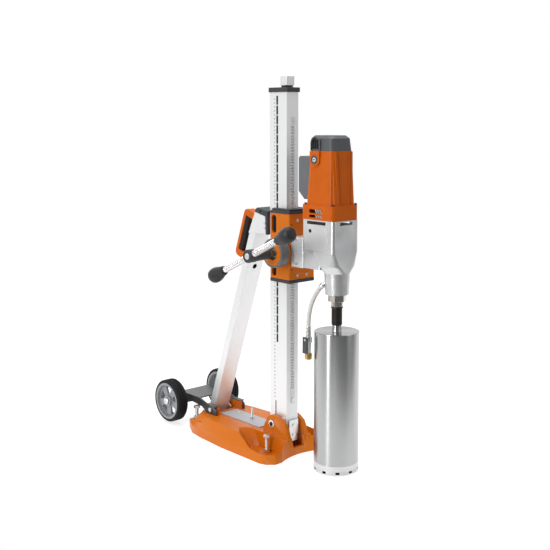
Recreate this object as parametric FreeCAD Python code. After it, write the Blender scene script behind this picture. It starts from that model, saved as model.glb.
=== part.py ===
import FreeCAD, Part
import math
import os

# Core drill rig: a stand with a column, a rack-driven carriage, a drill motor and a core bit.
# Millimetres, +Z up. The origin is on the base's underside, straight below the column's axis.
# The drill stands in front, at -Y. The wheels are behind, at +Y. The crank is on the -X side.

V = FreeCAD.Vector
X_AXIS, Y_AXIS, Z_AXIS = V(1, 0, 0), V(0, 1, 0), V(0, 0, 1)

# ---------------------------------------------------------------- driving dimensions

# base casting
BASE_HALF = 155.0          # half width at the widest
SKIRT_H = 28.0             # height of the upright skirt
DECK_Z = 58.0              # deck height
LEDGE_T = 8.0              # thickness of the ledges that carry the front levelling screws
EAR_IN, EAR_OUT = 32.0, 45.0
PIVOT_Y, PIVOT_Z = 12.0, 93.0   # column pivot
PIN_R = 8.0
RUN_GAP = 0.05             # radial gap of a running fit
LEVEL_X = 81.0
LEVEL_FRONT_Y, LEVEL_REAR_Y = -5.0, 382.0
LEVEL_R = 6.0
ANCHOR_Y = 168.0

# column and rack
COL_X, COL_Y = 25.0, 41.0  # half widths
COL_Z0, COL_Z1 = 40.0, 1192.0
COL_WALL = 5.0
JACK_Y = -16.0
MODULE = 3.0               # rack and pinion
PRESSURE = math.radians(25)
ADDENDUM, DEDENDUM = 0.8, 1.0
BACKLASH = 0.30
PINION_TEETH = 12
RACK_PITCH_Y = -43.0
PINION_R = MODULE * PINION_TEETH / 2
PINION_Y = RACK_PITCH_Y - PINION_R
PINION_Z = 684.0
RACK_Z0, RACK_Z1 = 168.0, 1114.0
RACK_HALF = 7.0

# strut
STRUT_FOOT = (358.0, 62.0)     # Y, Z of the foot pin
STRUT_ANGLE = 19.45            # degrees from upright
STRUT_LEN = 750.0
STRUT_X, STRUT_Y = 32.0, 15.0  # half widths

# carriage
CAR_X = 56.0
CAR_Y0, CAR_Y1 = -87.0, 6.0
CAR_Z0, CAR_Z1 = 594.0, 806.0

# drill
SPINDLE_Y = -248.0
GEARBOX_Y1 = -145.0        # rear face of the gearbox, on the mounting block
MOTOR_Y = -216.0
GEAR_MODULE = 1.0
ARMATURE_TEETH, SPINDLE_TEETH = 12, 52
BIT_R, BIT_WALL = 71.0, 3.0
BIT_Z0, BIT_Z1 = 2.5, 449.0
SEGMENTS = 10

# crank
CRANK_X = -196.0
CRANK_TILT = 25.0          # degrees of the rods below level, towards the rear
DRUM_R = 47.0

# wheels
WHEEL_R, WHEEL_X0, WHEEL_X1 = 77.0, 96.6, 141.6
AXLE_Y, AXLE_Z, AXLE_R = 488.0, 83.0, 9.0
ARM_X = 66.0               # outer face of the wheel bracket's arms
COLLAR = WHEEL_X0 - ARM_X - 0.5


# ---------------------------------------------------------------- helpers

def box(x0, x1, y0, y1, z0, z1):
    return Part.makeBox(x1 - x0, y1 - y0, z1 - z0, V(x0, y0, z0))


def rod(x, y, z, radius, length, axis=Z_AXIS):
    return Part.makeCylinder(radius, length, V(x, y, z), axis)


def tube(x, y, z, outer, inner, length, axis=Z_AXIS):
    return rod(x, y, z, outer, length, axis).cut(rod(x, y, z, inner, length, axis))


def cone(x, y, z, r0, r1, length, axis=Z_AXIS):
    return Part.makeCone(r0, r1, length, V(x, y, z), axis)


def join(shapes):
    body = shapes[0]
    for shape in shapes[1:]:
        body = body.fuse(shape)
    return body.removeSplitter()


def cut(body, tools):
    for tool in tools:
        body = body.cut(tool)
    return body


def mirrored(shape):
    return shape.mirror(V(0, 0, 0), X_AXIS)


def both_sides(shape):
    return [shape, mirrored(shape)]


def prism(points, normal, length):
    """Extrude a closed polygon of 3-D points along an axis."""
    wire = Part.makePolygon([V(*p) for p in points] + [V(*points[0])])
    return Part.Face(wire).extrude(normal * length)


def side_plate(points_yz, x0, x1):
    return prism([(x0, y, z) for y, z in points_yz], X_AXIS, x1 - x0)


def hexagon(x, y, z, across_flats, length):
    radius = across_flats / math.sqrt(3)
    points = [(x + radius * math.cos(math.radians(60 * i + 30)),
               y + radius * math.sin(math.radians(60 * i + 30)), z) for i in range(6)]
    return prism(points, Z_AXIS, length)


def rounded_wire(half_x, y0, y1, radius, z):
    """A rectangle with round corners, centred on X = 0, as a wire at height z."""
    x, r = half_x, radius
    mid = r * (1 - math.sqrt(0.5))
    corners = [
        ((x, y0 + r), (x - mid, y0 + mid), (x - r, y0)),
        ((-x + r, y0), (-x + mid, y0 + mid), (-x, y0 + r)),
        ((-x, y1 - r), (-x + mid, y1 - mid), (-x + r, y1)),
        ((x - r, y1), (x - mid, y1 - mid), (x, y1 - r)),
    ]
    edges = []
    for i, (a, m, b) in enumerate(corners):
        edges.append(Part.Arc(V(*a, z), V(*m, z), V(*b, z)).toShape())
        edges.append(Part.makeLine(V(*b, z), V(*corners[(i + 1) % 4][0], z)))
    return Part.Wire(edges)


def rounded_block(half_x, y0, y1, radius, z0, z1):
    return Part.Face(rounded_wire(half_x, y0, y1, radius, z0)).extrude(Z_AXIS * (z1 - z0))


def loft(wires):
    return Part.makeLoft(wires, True, True)


def gear_points(module, teeth, backlash):
    """Outline of an involute gear, flank by flank, with stub teeth."""
    pitch_r = module * teeth / 2
    base_r = pitch_r * math.cos(PRESSURE)
    tip_r = pitch_r + ADDENDUM * module
    root_r = pitch_r - DEDENDUM * module
    start_r = max(base_r, root_r)

    def involute(radius):
        a = math.acos(min(1.0, base_r / radius))
        return math.tan(a) - a

    half = (math.pi * module / 2 - backlash / 2) / (2 * pitch_r)
    points = []
    for tooth in range(teeth):
        centre = 2 * math.pi * tooth / teeth
        flank = []
        for i in range(5):
            radius = start_r + (tip_r - start_r) * i / 4
            flank.append((radius, half + involute(pitch_r) - involute(radius)))
        root = [(root_r, flank[0][1])] if root_r < start_r - 0.01 else []
        right = [(r, centre - a) for r, a in root + flank]
        left = [(r, centre + a) for r, a in reversed(root + flank)]
        points += [(r * math.cos(a), r * math.sin(a)) for r, a in right + left]
    return points


def gear_z(module, teeth, x, y, z, width, phase):
    """A gear on an upright shaft. phase turns the first tooth, in radians."""
    c, s = math.cos(phase), math.sin(phase)
    points = [(x + u * c - v * s, y + u * s + v * c, z) for u, v in gear_points(module, teeth, 0.12)]
    return prism(points, Z_AXIS, width)


def lean(shape):
    """Turn a piece built upright on the strut's foot pin into the strut's leaning place."""
    turned = shape.copy()
    turned.rotate(V(0, *STRUT_FOOT), X_AXIS, STRUT_ANGLE)
    return turned


# ---------------------------------------------------------------- base

def base_wire(half, front, corner, rear, z):
    """Plan outline of the base at one height: straight facets and a concave front arc."""
    left = [(-corner[0], front), (-corner[1], front), (-half + 8, front + 20), (-half, front + 45),
            (-half, 150), (-half + 10, 280), (-half + 20, 340), (-rear[0], rear[1])]
    right = [(-x, y) for x, y in reversed(left)]
    outline = left + right
    edges = [Part.makeLine(V(*outline[i], z), V(*outline[i + 1], z)) for i in range(len(outline) - 1)]
    start, end = outline[-1], outline[0]
    edges.append(Part.Arc(V(*start, z), V(0, front + 24, z), V(*end, z)).toShape())
    return Part.Wire(edges)


def corner_pocket():
    """Scooped front corner around the levelling screw, with sloping walls and a low rim."""
    floor = [(-90, 70), (-120, 40), (-142, -8), (-148, -50), (-141, -73), (-121, -91), (-97, -90), (-66, -64),
             (-64, 50), (-74, 66)]
    mouth = [(-84, 140), (-118, 96), (-152, 20), (-155, -51), (-148, -79), (-124.5, -99), (-95, -98), (-54, -76),
             (-54, 90), (-64, 126)]
    return loft([Part.makePolygon([V(x, y, z) for x, y in plan + plan[:1]])
                 for plan, z in ((floor, LEDGE_T), (mouth, DECK_Z + 2))])


def base_casting():
    skirt = Part.Face(base_wire(BASE_HALF, -97, (97, 124), (100, 402), 0)).extrude(Z_AXIS * SKIRT_H)
    hump = loft([base_wire(BASE_HALF, -97, (97, 124), (100, 402), SKIRT_H),
                 base_wire(114, -88, (84, 98), (76, 376), DECK_Z)])
    ear_side = [(56, 20), (55, 62), (49, 84), (33, 112), (27, 118), (14, 124), (-8, 125), (-20, 122),
                (-33, 117), (-53, 105), (-65, 82), (-73, 58), (-73, 20)]
    ears = both_sides(side_plate(ear_side, -EAR_OUT, -EAR_IN))
    rails = both_sides(box(-57.5, -47, 292, 348, DECK_Z - 10, 88))
    body = join([skirt, hump] + ears + rails)
    pockets = both_sides(corner_pocket())
    rear_ledges = both_sides(box(-130, -58, 356, 420, SKIRT_H + 2, 80))
    column_well = box(-EAR_IN, EAR_IN, -62, 76, 12, 140)
    front_notch = box(-24, 24, -110, -60, 25, 140)
    hollows = []
    strut_well = box(-46, 46, 326, 384, 40, 80)
    for y0, y1 in ((128, 222), (234, 322)):
        hollows += both_sides(box(-120, -34, y0, y1, -1, SKIRT_H + 16))
    anchor_slot = box(-12, 12, 100, 290, -1, 80)
    body = cut(body, pockets + rear_ledges + hollows
               + [column_well, front_notch, strut_well, anchor_slot])
    holes = [rod(x, y, -1, LEVEL_R + 0.3, 90) for x in (-LEVEL_X, LEVEL_X)
             for y in (LEVEL_FRONT_Y, LEVEL_REAR_Y)]
    holes.append(rod(-EAR_OUT - 1, PIVOT_Y, PIVOT_Z, PIN_R, 2 * EAR_OUT + 2, X_AXIS))
    holes.append(rod(17, 262, 40, 2.5, 30))
    holes += both_sides(rod(-58, 320, 74, 4, 12, X_AXIS))
    return cut(body, holes)


def cover_plate():
    plate = box(-36, 36, 86, 296, DECK_Z, DECK_Z + 4)
    return cut(plate, [rod(0, ANCHOR_Y, 50, 4.5, 20), rod(17, 262, 50, 2.5, 20)])


def anchor_stud():
    stud = rod(0, ANCHOR_Y, 4, 4, 98)
    washer = tube(0, ANCHOR_Y, 62, 8, 4, 1.5)
    nut = hexagon(0, ANCHOR_Y, 63.5, 13, 7).cut(rod(0, ANCHOR_Y, 60, 4, 20))
    screw = join([rod(17, 262, 42, 2.5, 20), rod(17, 262, 62, 5, 2)])
    return Part.Compound([stud, washer, nut, screw])


def pivot_pin():
    pin = rod(-EAR_OUT - 4, PIVOT_Y, PIVOT_Z, PIN_R, 2 * EAR_OUT + 8, X_AXIS)
    washer = tube(-EAR_OUT - 2.5, PIVOT_Y, PIVOT_Z, 13.5, PIN_R, 2.5, X_AXIS)
    return Part.Compound([pin] + both_sides(washer))


def levelling_screw(x, y, top):
    """A hexagon-headed screw that stands on the floor and lifts one corner."""
    head = hexagon(x, y, top - 9, 21, 9)
    flange = rod(x, y, top - 11, 8, 2.5)
    shank = rod(x, y, 3, LEVEL_R, top - 12)
    tip = cone(x, y, 0.5, 4, LEVEL_R, 2.5)
    return join([head, flange, shank, tip])


def lock_nuts():
    nuts = []
    for x in (-LEVEL_X, LEVEL_X):
        for y, z in ((LEVEL_FRONT_Y, LEDGE_T), (LEVEL_REAR_Y, SKIRT_H + 2)):
            nuts.append(hexagon(x, y, z, 21, 10).cut(rod(x, y, z - 1, LEVEL_R + 0.3, 20)))
    return Part.Compound(nuts)


def wheel_bracket():
    profile = [(288, DECK_Z), (345, DECK_Z), (372, 74), (430, 80), (466, 68), (488, 66), (502, 71),
               (506, 84), (502, 104), (388, 104), (350, 92), (302, 88), (288, 78)]
    arms = both_sides(side_plate(profile, -ARM_X, -ARM_X + 6))
    plate = box(-ARM_X, ARM_X, 388, 502, 100, 104)
    feet = both_sides(box(-ARM_X, -47, 292, 345, 88, 91))
    body = join(arms + [plate] + feet)
    return cut(body, [rod(-90, AXLE_Y, AXLE_Z, AXLE_R, 180, X_AXIS)]
               + both_sides(rod(-ARM_X - 1, 320, 74, 4, 10, X_AXIS)))


def bracket_bolts():
    bolt = join([rod(-ARM_X, 320, 74, 4, 16, X_AXIS), rod(-ARM_X - 5, 320, 74, 8, 5, X_AXIS)])
    return Part.Compound(both_sides(bolt))


def axle():
    """Axle rod with its two end caps and the collars that space the wheels from the arms."""
    bar = rod(-WHEEL_X1 + 4, AXLE_Y, AXLE_Z, AXLE_R, 2 * (WHEEL_X1 - 4), X_AXIS)
    caps = [rod(x, AXLE_Y, AXLE_Z, 12, 7, X_AXIS).cut(bar) for x in (-WHEEL_X1 - 3, WHEEL_X1 - 4)]
    collars = [tube(x, AXLE_Y, AXLE_Z, 14, AXLE_R, COLLAR, X_AXIS) for x in (-WHEEL_X0 + 0.3, ARM_X + 0.2)]
    return Part.Compound([bar] + caps + collars)


def rim():
    """Five-spoke rim on the left wheel, open between the spokes."""
    length = WHEEL_X1 - WHEEL_X0
    x0 = -WHEEL_X1
    ring = tube(x0 + 1, AXLE_Y, AXLE_Z, 66, 58, length - 2, X_AXIS)
    web = rod(x0 + 12, AXLE_Y, AXLE_Z, 59, 8, X_AXIS)
    boss = rod(x0 + 4, AXLE_Y, AXLE_Z, 20, length - 4, X_AXIS)
    windows = []
    for i in range(5):
        window = side_plate([(AXLE_Y - 6, AXLE_Z + 25), (AXLE_Y + 6, AXLE_Z + 25),
                             (AXLE_Y + 19, AXLE_Z + 50), (AXLE_Y, AXLE_Z + 54),
                             (AXLE_Y - 19, AXLE_Z + 50)], x0 + 5, x0 + 30)
        window.rotate(V(0, AXLE_Y, AXLE_Z), X_AXIS, 72 * i)
        windows.append(window)
    body = cut(join([ring, web]), windows).fuse(boss)
    recess = rod(x0 - 1, AXLE_Y, AXLE_Z, 13, 6, X_AXIS)
    bore = rod(x0 - 1, AXLE_Y, AXLE_Z, AXLE_R + RUN_GAP, length + 2, X_AXIS)
    return cut(body, [recess, bore]).removeSplitter()


def tyre():
    length = WHEEL_X1 - WHEEL_X0
    body = rod(-WHEEL_X1, AXLE_Y, AXLE_Z, WHEEL_R, length, X_AXIS)
    body = body.makeChamfer(5, [e for e in body.Edges if len(e.Vertexes) == 1])
    return body.cut(rod(-WHEEL_X1 - 1, AXLE_Y, AXLE_Z, 66, length + 2, X_AXIS))


# ---------------------------------------------------------------- column

def column():
    body = box(-COL_X, COL_X, -COL_Y, COL_Y, COL_Z0, COL_Z1)
    inner = box(-COL_X + COL_WALL, COL_X - COL_WALL, -28, 22, COL_Z0 - 1, COL_Z1 + 1)
    groove = box(-RACK_HALF, RACK_HALF, -COL_Y - 1, -36, RACK_Z0, RACK_Z1)
    slot = box(-6, 6, 34, COL_Y + 1, COL_Z0 - 1, COL_Z1 + 1)
    slot_head = box(-11, 11, 27, 35, COL_Z0 - 1, COL_Z1 + 1)
    body = cut(body, [inner, groove, slot, slot_head])
    bore = rod(-40, PIVOT_Y, PIVOT_Z, PIN_R + RUN_GAP, 80, X_AXIS)
    holes = [rod(0, -50, z, 3, 26, Y_AXIS) for z in (RACK_Z0 + 14, RACK_Z1 - 14, 60, 92)]
    return cut(body, [bore] + holes)


def rack():
    """Toothed bar in the column's front groove, with teeth towards -Y."""
    tip = RACK_PITCH_Y - ADDENDUM * MODULE
    root = RACK_PITCH_Y + DEDENDUM * MODULE
    pitch = math.pi * MODULE
    half = pitch / 4 - BACKLASH / 4
    slope = math.tan(PRESSURE)
    count = int((RACK_Z1 - RACK_Z0 - 72) / (2 * pitch))
    outline = [(-36, RACK_Z0), (tip, RACK_Z0)]
    for i in range(-count, count):
        z = PINION_Z - 40 + pitch * (i + 0.5) + (40 % pitch)
        outline += [(tip, z - half + slope * ADDENDUM * MODULE), (tip, z + half - slope * ADDENDUM * MODULE),
                    (root, z + half + slope * DEDENDUM * MODULE),
                    (root, z + pitch - half - slope * DEDENDUM * MODULE)]
    first = outline[2][1]
    outline = [(-36, RACK_Z0), (tip, RACK_Z0), (tip, first - 1)] + outline[2:]
    outline += [(tip, outline[-1][1] + 2.6), (tip, RACK_Z1), (-36, RACK_Z1)]
    body = side_plate(outline, -RACK_HALF, RACK_HALF)
    return cut(body, [rod(0, -50, z, 3, 26, Y_AXIS) for z in (RACK_Z0 + 14, RACK_Z1 - 14)])


def column_screws():
    """Rack screws and foot bracket bolts: buttons on plain shanks."""
    screws = []
    for z, face in ((RACK_Z0 + 14, -45.4), (RACK_Z1 - 14, -45.4), (60, -49), (92, -49)):
        screws.append(join([rod(0, face, z, 3, -28 - face, Y_AXIS), rod(0, face - 2.5, z, 6, 2.5, Y_AXIS)]))
    return Part.Compound(screws)


def depth_scale():
    strip = box(-COL_X - 0.6, -COL_X, 4, 7, 370, COL_Z1 - 4)
    ruler = box(-COL_X - 0.4, -COL_X, 10, 22, 150, COL_Z1 - 4)
    lower = box(-COL_X - 0.6, -COL_X, 4, 7, 140, 176)
    return Part.Compound([strip, ruler, lower])


def column_cap():
    cap = rounded_block(29.5, -47, 45, 5, COL_Z1, COL_Z1 + 15)
    plug = box(-19, 19, -27.8, 20, COL_Z1 - 40, COL_Z1)
    return join([cap, plug]).cut(rod(0, JACK_Y, COL_Z1 - 60, 11.3, 90))


def jack_nut():
    z = COL_Z1 + 15
    return hexagon(0, JACK_Y, z, 34, 6).cut(rod(0, JACK_Y, z - 1, 11.3, 20))


def jack_screw():
    z = COL_Z1 + 21.3
    return join([box(-16, 16, JACK_Y - 16, JACK_Y + 16, z, z + 29), rod(0, JACK_Y, z - 110, 11, 111)])


def column_foot():
    """Steel shoe around the column's lower end: two side plates and a front plate."""
    sides = both_sides(side_plate([(-34, 50), (38, 50), (38, 112), (28, 118), (-34, 118)], -31, -25))
    front = cut(box(-20, 20, -49, -41, 40, 112), [rod(0, -60, z, 3, 30, Y_AXIS) for z in (60, 92)])
    bore = rod(-40, PIVOT_Y, PIVOT_Z, PIN_R + RUN_GAP, 80, X_AXIS)
    return Part.Compound([side.cut(bore) for side in sides] + [front])


# ---------------------------------------------------------------- strut and its head

def strut_tube():
    y, z = STRUT_FOOT
    body = box(-STRUT_X, STRUT_X, y - STRUT_Y, y + STRUT_Y, z - 12, z + STRUT_LEN)
    body = body.cut(box(-28, 28, y - 11, y + 11, z + 12, z + STRUT_LEN - 5))
    body = body.cut(rod(-40, y, z, 6 + RUN_GAP, 80, X_AXIS))
    window = rod(0, y - 30, z + 583, 9, 20, Y_AXIS)
    return lean(body.cut(window))


def handle_frame():
    y, z = STRUT_FOOT
    rear = y + STRUT_Y
    outer = box(-15, 15, rear, rear + 68, z + 588, z + 762)
    outer = outer.makeFillet(18, [e for e in outer.Edges if abs(e.CenterOfMass.y - rear - 68) < 1
                                  and abs(e.CenterOfMass.x) < 1])
    gap = box(-20, 20, rear - 1, rear + 55, z + 612, z + 738)
    feet = box(-15, 15, rear, rear + 8, z + 588, z + 762)
    return lean(join([outer.cut(gap), feet]))


def handle_grip():
    y, z = STRUT_FOOT
    rear = y + STRUT_Y
    return lean(box(-15, 15, rear + 33, rear + 55, z + 612, z + 738))


def head_cheeks():
    outline = [(104, 799), (52, 788), (50, 731), (138, 727)]
    cheek = cut(side_plate(outline, -37, -33), [rod(-40, 55, z, 2.5, 10, X_AXIS) for z in (750, 765)])
    return Part.Compound(both_sides(cheek))


def strut_head():
    """Clamp behind the column: a spine, a sloped cap over the cheeks and a tongue in the T-slot."""
    spine = box(-37, 37, COL_Y + 0.5, 50, 728, 800)
    cap = side_plate([(COL_Y + 0.5, 789), (52, 789), (103, 800), (103, 808), (92, 815),
                      (COL_Y + 0.5, 806)], -37, 37)
    neck = box(-5, 5, 28.5, COL_Y + 0.6, 732, 796)
    key = box(-10, 10, 28.5, 33, 732, 796)
    lugs = both_sides(box(-33, -28, 49, 60, 740, 780))
    body = join([spine, cap, neck, key] + lugs)
    return cut(body, [rod(-40, 76, 803.5, 3.5, 80, X_AXIS)]
               + both_sides(rod(-34, 55, 750, 2.5, 4, X_AXIS)) + both_sides(rod(-34, 55, 765, 2.5, 4, X_AXIS)))


def head_screws():
    screws = []
    for z in (750, 765):
        screws += both_sides(join([rod(-37, 55, z, 2.5, 6.5, X_AXIS), rod(-39, 55, z, 4, 2, X_AXIS)]))
    return Part.Compound(screws)


def strut_foot_bracket():
    """Two cheeks on the deck and the pin that the strut turns on."""
    cheek = side_plate([(330, 40), (376, 40), (376, 64), (366, 78), (350, 78), (330, 64)], -38.5, -32.5)
    y, z = STRUT_FOOT
    pin = join([rod(-41, y, z, 6, 82, X_AXIS)] + both_sides(rod(-45, y, z, 9, 4, X_AXIS)))
    return Part.Compound([c.cut(pin) for c in both_sides(cheek)] + [pin])


# ---------------------------------------------------------------- carriage and feed

def carriage_body():
    body = rounded_block(CAR_X, CAR_Y0, CAR_Y1, 5, CAR_Z0, CAR_Z1)
    inside = box(-48, 48, -79, 20, CAR_Z0 - 1, CAR_Z1 + 1)
    body = body.cut(inside)
    cuts = []
    for z0, z1 in ((741, 800), (600, 640)):
        slot = join([box(-70, -40, -25, -3, z0 + 11, z1 - 11), rod(-70, -14, z0 + 11, 11, 30, X_AXIS),
                     rod(-70, -14, z1 - 11, 11, 30, X_AXIS)])
        cuts += both_sides(slot)
    cuts += [rod(-60, PINION_Y, PINION_Z, 24, 120, X_AXIS)]
    cuts += [rod(x, -90, z, 2.5, 15, Y_AXIS) for x, z in CARRIAGE_SCREWS]
    cuts += [rod(x, -90, z, 3, 15, Y_AXIS) for x, z in ((-44, 772), (-44, 627), (44, 772), (44, 627))]
    return cut(body, cuts)


CARRIAGE_SCREWS = [(x, z) for x in (-20, 20) for z in (785, 607)]


def end_plate(z0, z1, step):
    """Plate that closes the carriage and wipes the column, with a smaller step on its outside."""
    lip = rounded_block(CAR_X + 1, CAR_Y0 - 1, CAR_Y1 + 1, 6, z0, z1)
    if step > 0:
        lip = join([lip, rounded_block(CAR_X - 7, CAR_Y0 + 7, CAR_Y1 + 1, 6, z1, z1 + step)])
    return lip.cut(box(-COL_X - 0.9, COL_X + 0.9, -50, 20, z0 - 1, z1 + step + 1))


def glide_pads():
    pads = []
    for z0, z1 in ((738, 803), (597, 643)):
        for side in (-1, 1):
            x0, x1 = sorted((side * 25.4, side * 48))
            pads.append(box(x0, x1, -27, -1, z0, z1))
    return Part.Compound(pads)


def feed_housing():
    """Drum on the carriage's side and the bush seats that carry the pinion shaft."""
    drum = rod(-106, PINION_Y, PINION_Z, DRUM_R, 34, X_AXIS)
    neck = rod(-73, PINION_Y, PINION_Z, 23.9, 25, X_AXIS)
    bowl = rod(-107, PINION_Y, PINION_Z, 22, 12, X_AXIS)
    ring_seat = tube(-107, PINION_Y, PINION_Z, 40, 21, 5, X_AXIS)
    body = join([drum, neck])
    left = cut(body, [bowl, ring_seat, rod(-110, PINION_Y, PINION_Z, 13, 70, X_AXIS)])
    right = tube(44, PINION_Y, PINION_Z, 23.9, 13, 12, X_AXIS)
    return Part.Compound([left, right])


def face_ring():
    return tube(-106, PINION_Y, PINION_Z, 39.9, 22, 4, X_AXIS)


def feed_bushes():
    return Part.Compound([tube(-94, PINION_Y, PINION_Z, 13, 10 + RUN_GAP, 40, X_AXIS),
                          tube(44, PINION_Y, PINION_Z, 13, 10 + RUN_GAP, 12, X_AXIS)])


def pinion_shaft():
    half = RACK_HALF - 0.5
    points = [(-half, PINION_Y + u, PINION_Z + v) for u, v in gear_points(MODULE, PINION_TEETH, BACKLASH)]
    teeth = prism(points, X_AXIS, 2 * half)
    return join([rod(-205, PINION_Y, PINION_Z, 10, 260, X_AXIS), teeth])


def about_crank(shape, angle):
    turned = shape.copy()
    turned.rotate(V(0, PINION_Y, PINION_Z), X_AXIS, angle)
    return turned


def crank_hub():
    body = join([cone(-150, PINION_Y, PINION_Z, 17.5, 18, 28, X_AXIS),
                 cone(-210, PINION_Y, PINION_Z, 21, 17.5, 60, X_AXIS)])
    cap_seat = rod(-211, PINION_Y, PINION_Z, 14, 3.5, X_AXIS)
    shaft = rod(-205, PINION_Y, PINION_Z, 10, 100, X_AXIS)
    cap = rod(-210.5, PINION_Y, PINION_Z, 14, 3, X_AXIS)
    sockets = [about_crank(rod(CRANK_X, PINION_Y, PINION_Z, 10.5, 40, Y_AXIS), -CRANK_TILT + turn)
               for turn in (0, 180)]
    return Part.Compound([cut(body, [cap_seat, shaft] + sockets), cap])


def crank_rods():
    rods = []
    for turn in (0, 180):
        bar = rod(CRANK_X, PINION_Y + 10.5, PINION_Z, 10.5, 138, Y_AXIS)
        bar = bar.cut(rod(-250, PINION_Y, PINION_Z, 10, 100, X_AXIS))
        grooves = [tube(CRANK_X, PINION_Y + 40 + 9 * i, PINION_Z, 12, 9.3, 3, Y_AXIS) for i in range(11)]
        rods.append(about_crank(cut(bar, grooves), -CRANK_TILT + turn))
    return Part.Compound(rods)


def crank_knobs():
    knobs = []
    for turn in (0, 180):
        neck = cone(CRANK_X, PINION_Y + 142, PINION_Z, 15, 25, 42, Y_AXIS)
        body = rod(CRANK_X, PINION_Y + 184, PINION_Z, 25, 14, Y_AXIS)
        dome = cone(CRANK_X, PINION_Y + 198, PINION_Z, 25, 16, 18, Y_AXIS)
        seat = rod(CRANK_X, PINION_Y + 100, PINION_Z, 10.5, 48.5, Y_AXIS)
        knobs.append(about_crank(join([neck, body, dome]).cut(seat), -CRANK_TILT + turn))
    return Part.Compound(knobs)


def carriage_screws():
    screws = []
    for x, z in CARRIAGE_SCREWS:
        screws.append(join([rod(x, -89, z, 5, 2, Y_AXIS), rod(x, -87, z, 2.5, 8, Y_AXIS)]))
    return Part.Compound(screws)


# ---------------------------------------------------------------- drill

def mounting_block():
    block = rounded_block(50, GEARBOX_Y1, CAR_Y0, 4, 640, 736)
    return cut(block, [rod(-52, -92, 681, 4, 8, X_AXIS), box(-38, 38, -134, -98, 632, 724)])


def gearbox_housing():
    upper = rounded_block(56, -286, GEARBOX_Y1, 12, 700, 798)
    rear = rounded_block(52, -226, GEARBOX_Y1, 10, 643, 701)
    taper = loft([rounded_wire(56, -286, -190, 12, 700), rounded_wire(51, -289, -200, 28, 655)])
    throat = loft([rounded_wire(51, -289, -200, 28, 655), rounded_wire(42, -290, -206, 41, 634)])
    nose = cone(0, SPINDLE_Y, 566, 37, 40, 70)
    body = join([upper, rear, taper, throat, nose])
    cavity = rounded_block(49, -278, -153, 8, 736, 799)
    bore = rod(0, SPINDLE_Y, 560, 24, 180)
    vents = both_sides(box(-60, -48, -252, -170, 784, 794))
    front_vent = box(-27, 27, -290, -276, 784, 794)
    inlet = rod(*HOSE_START, 5, 34, HOSE_IN)
    plug_hole = rod(-58, -184, 763, 4.5, 8, X_AXIS)
    return cut(body, [cavity, bore, front_vent, inlet, plug_hole] + vents)


def motor_flange():
    outer = rounded_block(57, -284, -143, 14, 798, 844)
    inner = rounded_block(51, -278, -149, 8, 804, 845)
    vents = []
    for z0, z1 in ((819, 831), (805, 814)):
        vents += both_sides(box(-62, -50, -235, -180, z0, z1))
    return cut(outer, [inner, rod(0, MOTOR_Y, 790, 15, 30)] + vents)


def housing_outer():
    return loft([rounded_wire(53, -279, -154, 20, 844), rounded_wire(47, -271, -166, 18, 1010)])


def motor_housing():
    inner = loft([rounded_wire(48.5, -274.5, -158.5, 16, 843), rounded_wire(42.5, -266.5, -170.5, 14, 1011)])
    bulkhead = rounded_block(45.5, -269.5, -167.5, 14, 998, 1004).cut(rod(0, MOTOR_Y, 990, 15, 30))
    body = join([housing_outer().cut(inner), bulkhead])
    return cut(body, both_sides(rod(-60, -198, 983, 6, 20, X_AXIS)))


def motor_cap():
    outer = loft([rounded_wire(46, -270, -166, 18, 1010), rounded_wire(43, -266, -164, 18, 1048)])
    top = loft([rounded_wire(43, -266, -164, 18, 1048), rounded_wire(33, -255, -174, 12, 1057)])
    inner = rounded_block(38, -260, -171, 12, 1009, 1047)
    vents = both_sides(box(-60, -34, -207, -173, 1016, 1044))
    return cut(join([outer, top]), [inner] + vents)


def brush_sets():
    sets = []
    for shape in (rod(-52.5, -198, 983, 6, 13, X_AXIS),
                  box(-39, -17.5, -220, -194, 979, 987)):
        sets += both_sides(shape)
    return Part.Compound(sets)


def stator():
    return tube(0, MOTOR_Y, 868, 42, 29, 88)


def bearings():
    motor = [tube(0, MOTOR_Y, 798, 15, 7 + RUN_GAP, 9), tube(0, MOTOR_Y, 995, 15, 7 + RUN_GAP, 9)]
    spindle = [tube(0, SPINDLE_Y, 590, 24, 12 + RUN_GAP, 16), tube(0, SPINDLE_Y, 716, 24, 12 + RUN_GAP, 16)]
    return Part.Compound(motor + spindle)


def armature():
    shaft = rod(0, MOTOR_Y, 758, 4.6, 30)
    upper = rod(0, MOTOR_Y, 786, 7, 222)
    stack = rod(0, MOTOR_Y, 872, 28, 80)
    commutator = rod(0, MOTOR_Y, 972, 17, 20)
    fan = rod(0, MOTOR_Y, 836, 38, 12)
    pinion = gear_z(GEAR_MODULE, ARMATURE_TEETH, 0, MOTOR_Y, 762, 14, -math.pi / 2)
    return join([shaft, upper, stack, commutator, fan, pinion])


def spindle():
    half_tooth = math.pi / SPINDLE_TEETH
    gear = gear_z(GEAR_MODULE, SPINDLE_TEETH, 0, SPINDLE_Y, 762, 14, math.pi / 2 + half_tooth)
    return join([rod(0, SPINDLE_Y, 532, 12, 246), gear])


def spindle_nut():
    nut = hexagon(0, SPINDLE_Y, 544, 50, 20)
    return join([nut, cone(0, SPINDLE_Y, 528, 19, 20, 16)]).cut(rod(0, SPINDLE_Y, 532, 12, 60))


def bit_sleeve():
    return join([rod(0, SPINDLE_Y, 469, 17.5, 53), rod(0, SPINDLE_Y, 522, 19, 6)])


def core_bit():
    shell = tube(0, SPINDLE_Y, BIT_Z0 + 10, BIT_R, BIT_R - BIT_WALL, BIT_Z1 - BIT_Z0 - 16)
    lid = rod(0, SPINDLE_Y, BIT_Z1 - 6, BIT_R, 6)
    neck = rod(0, SPINDLE_Y, BIT_Z1, 15, 20)
    return join([shell, lid, neck])


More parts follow.
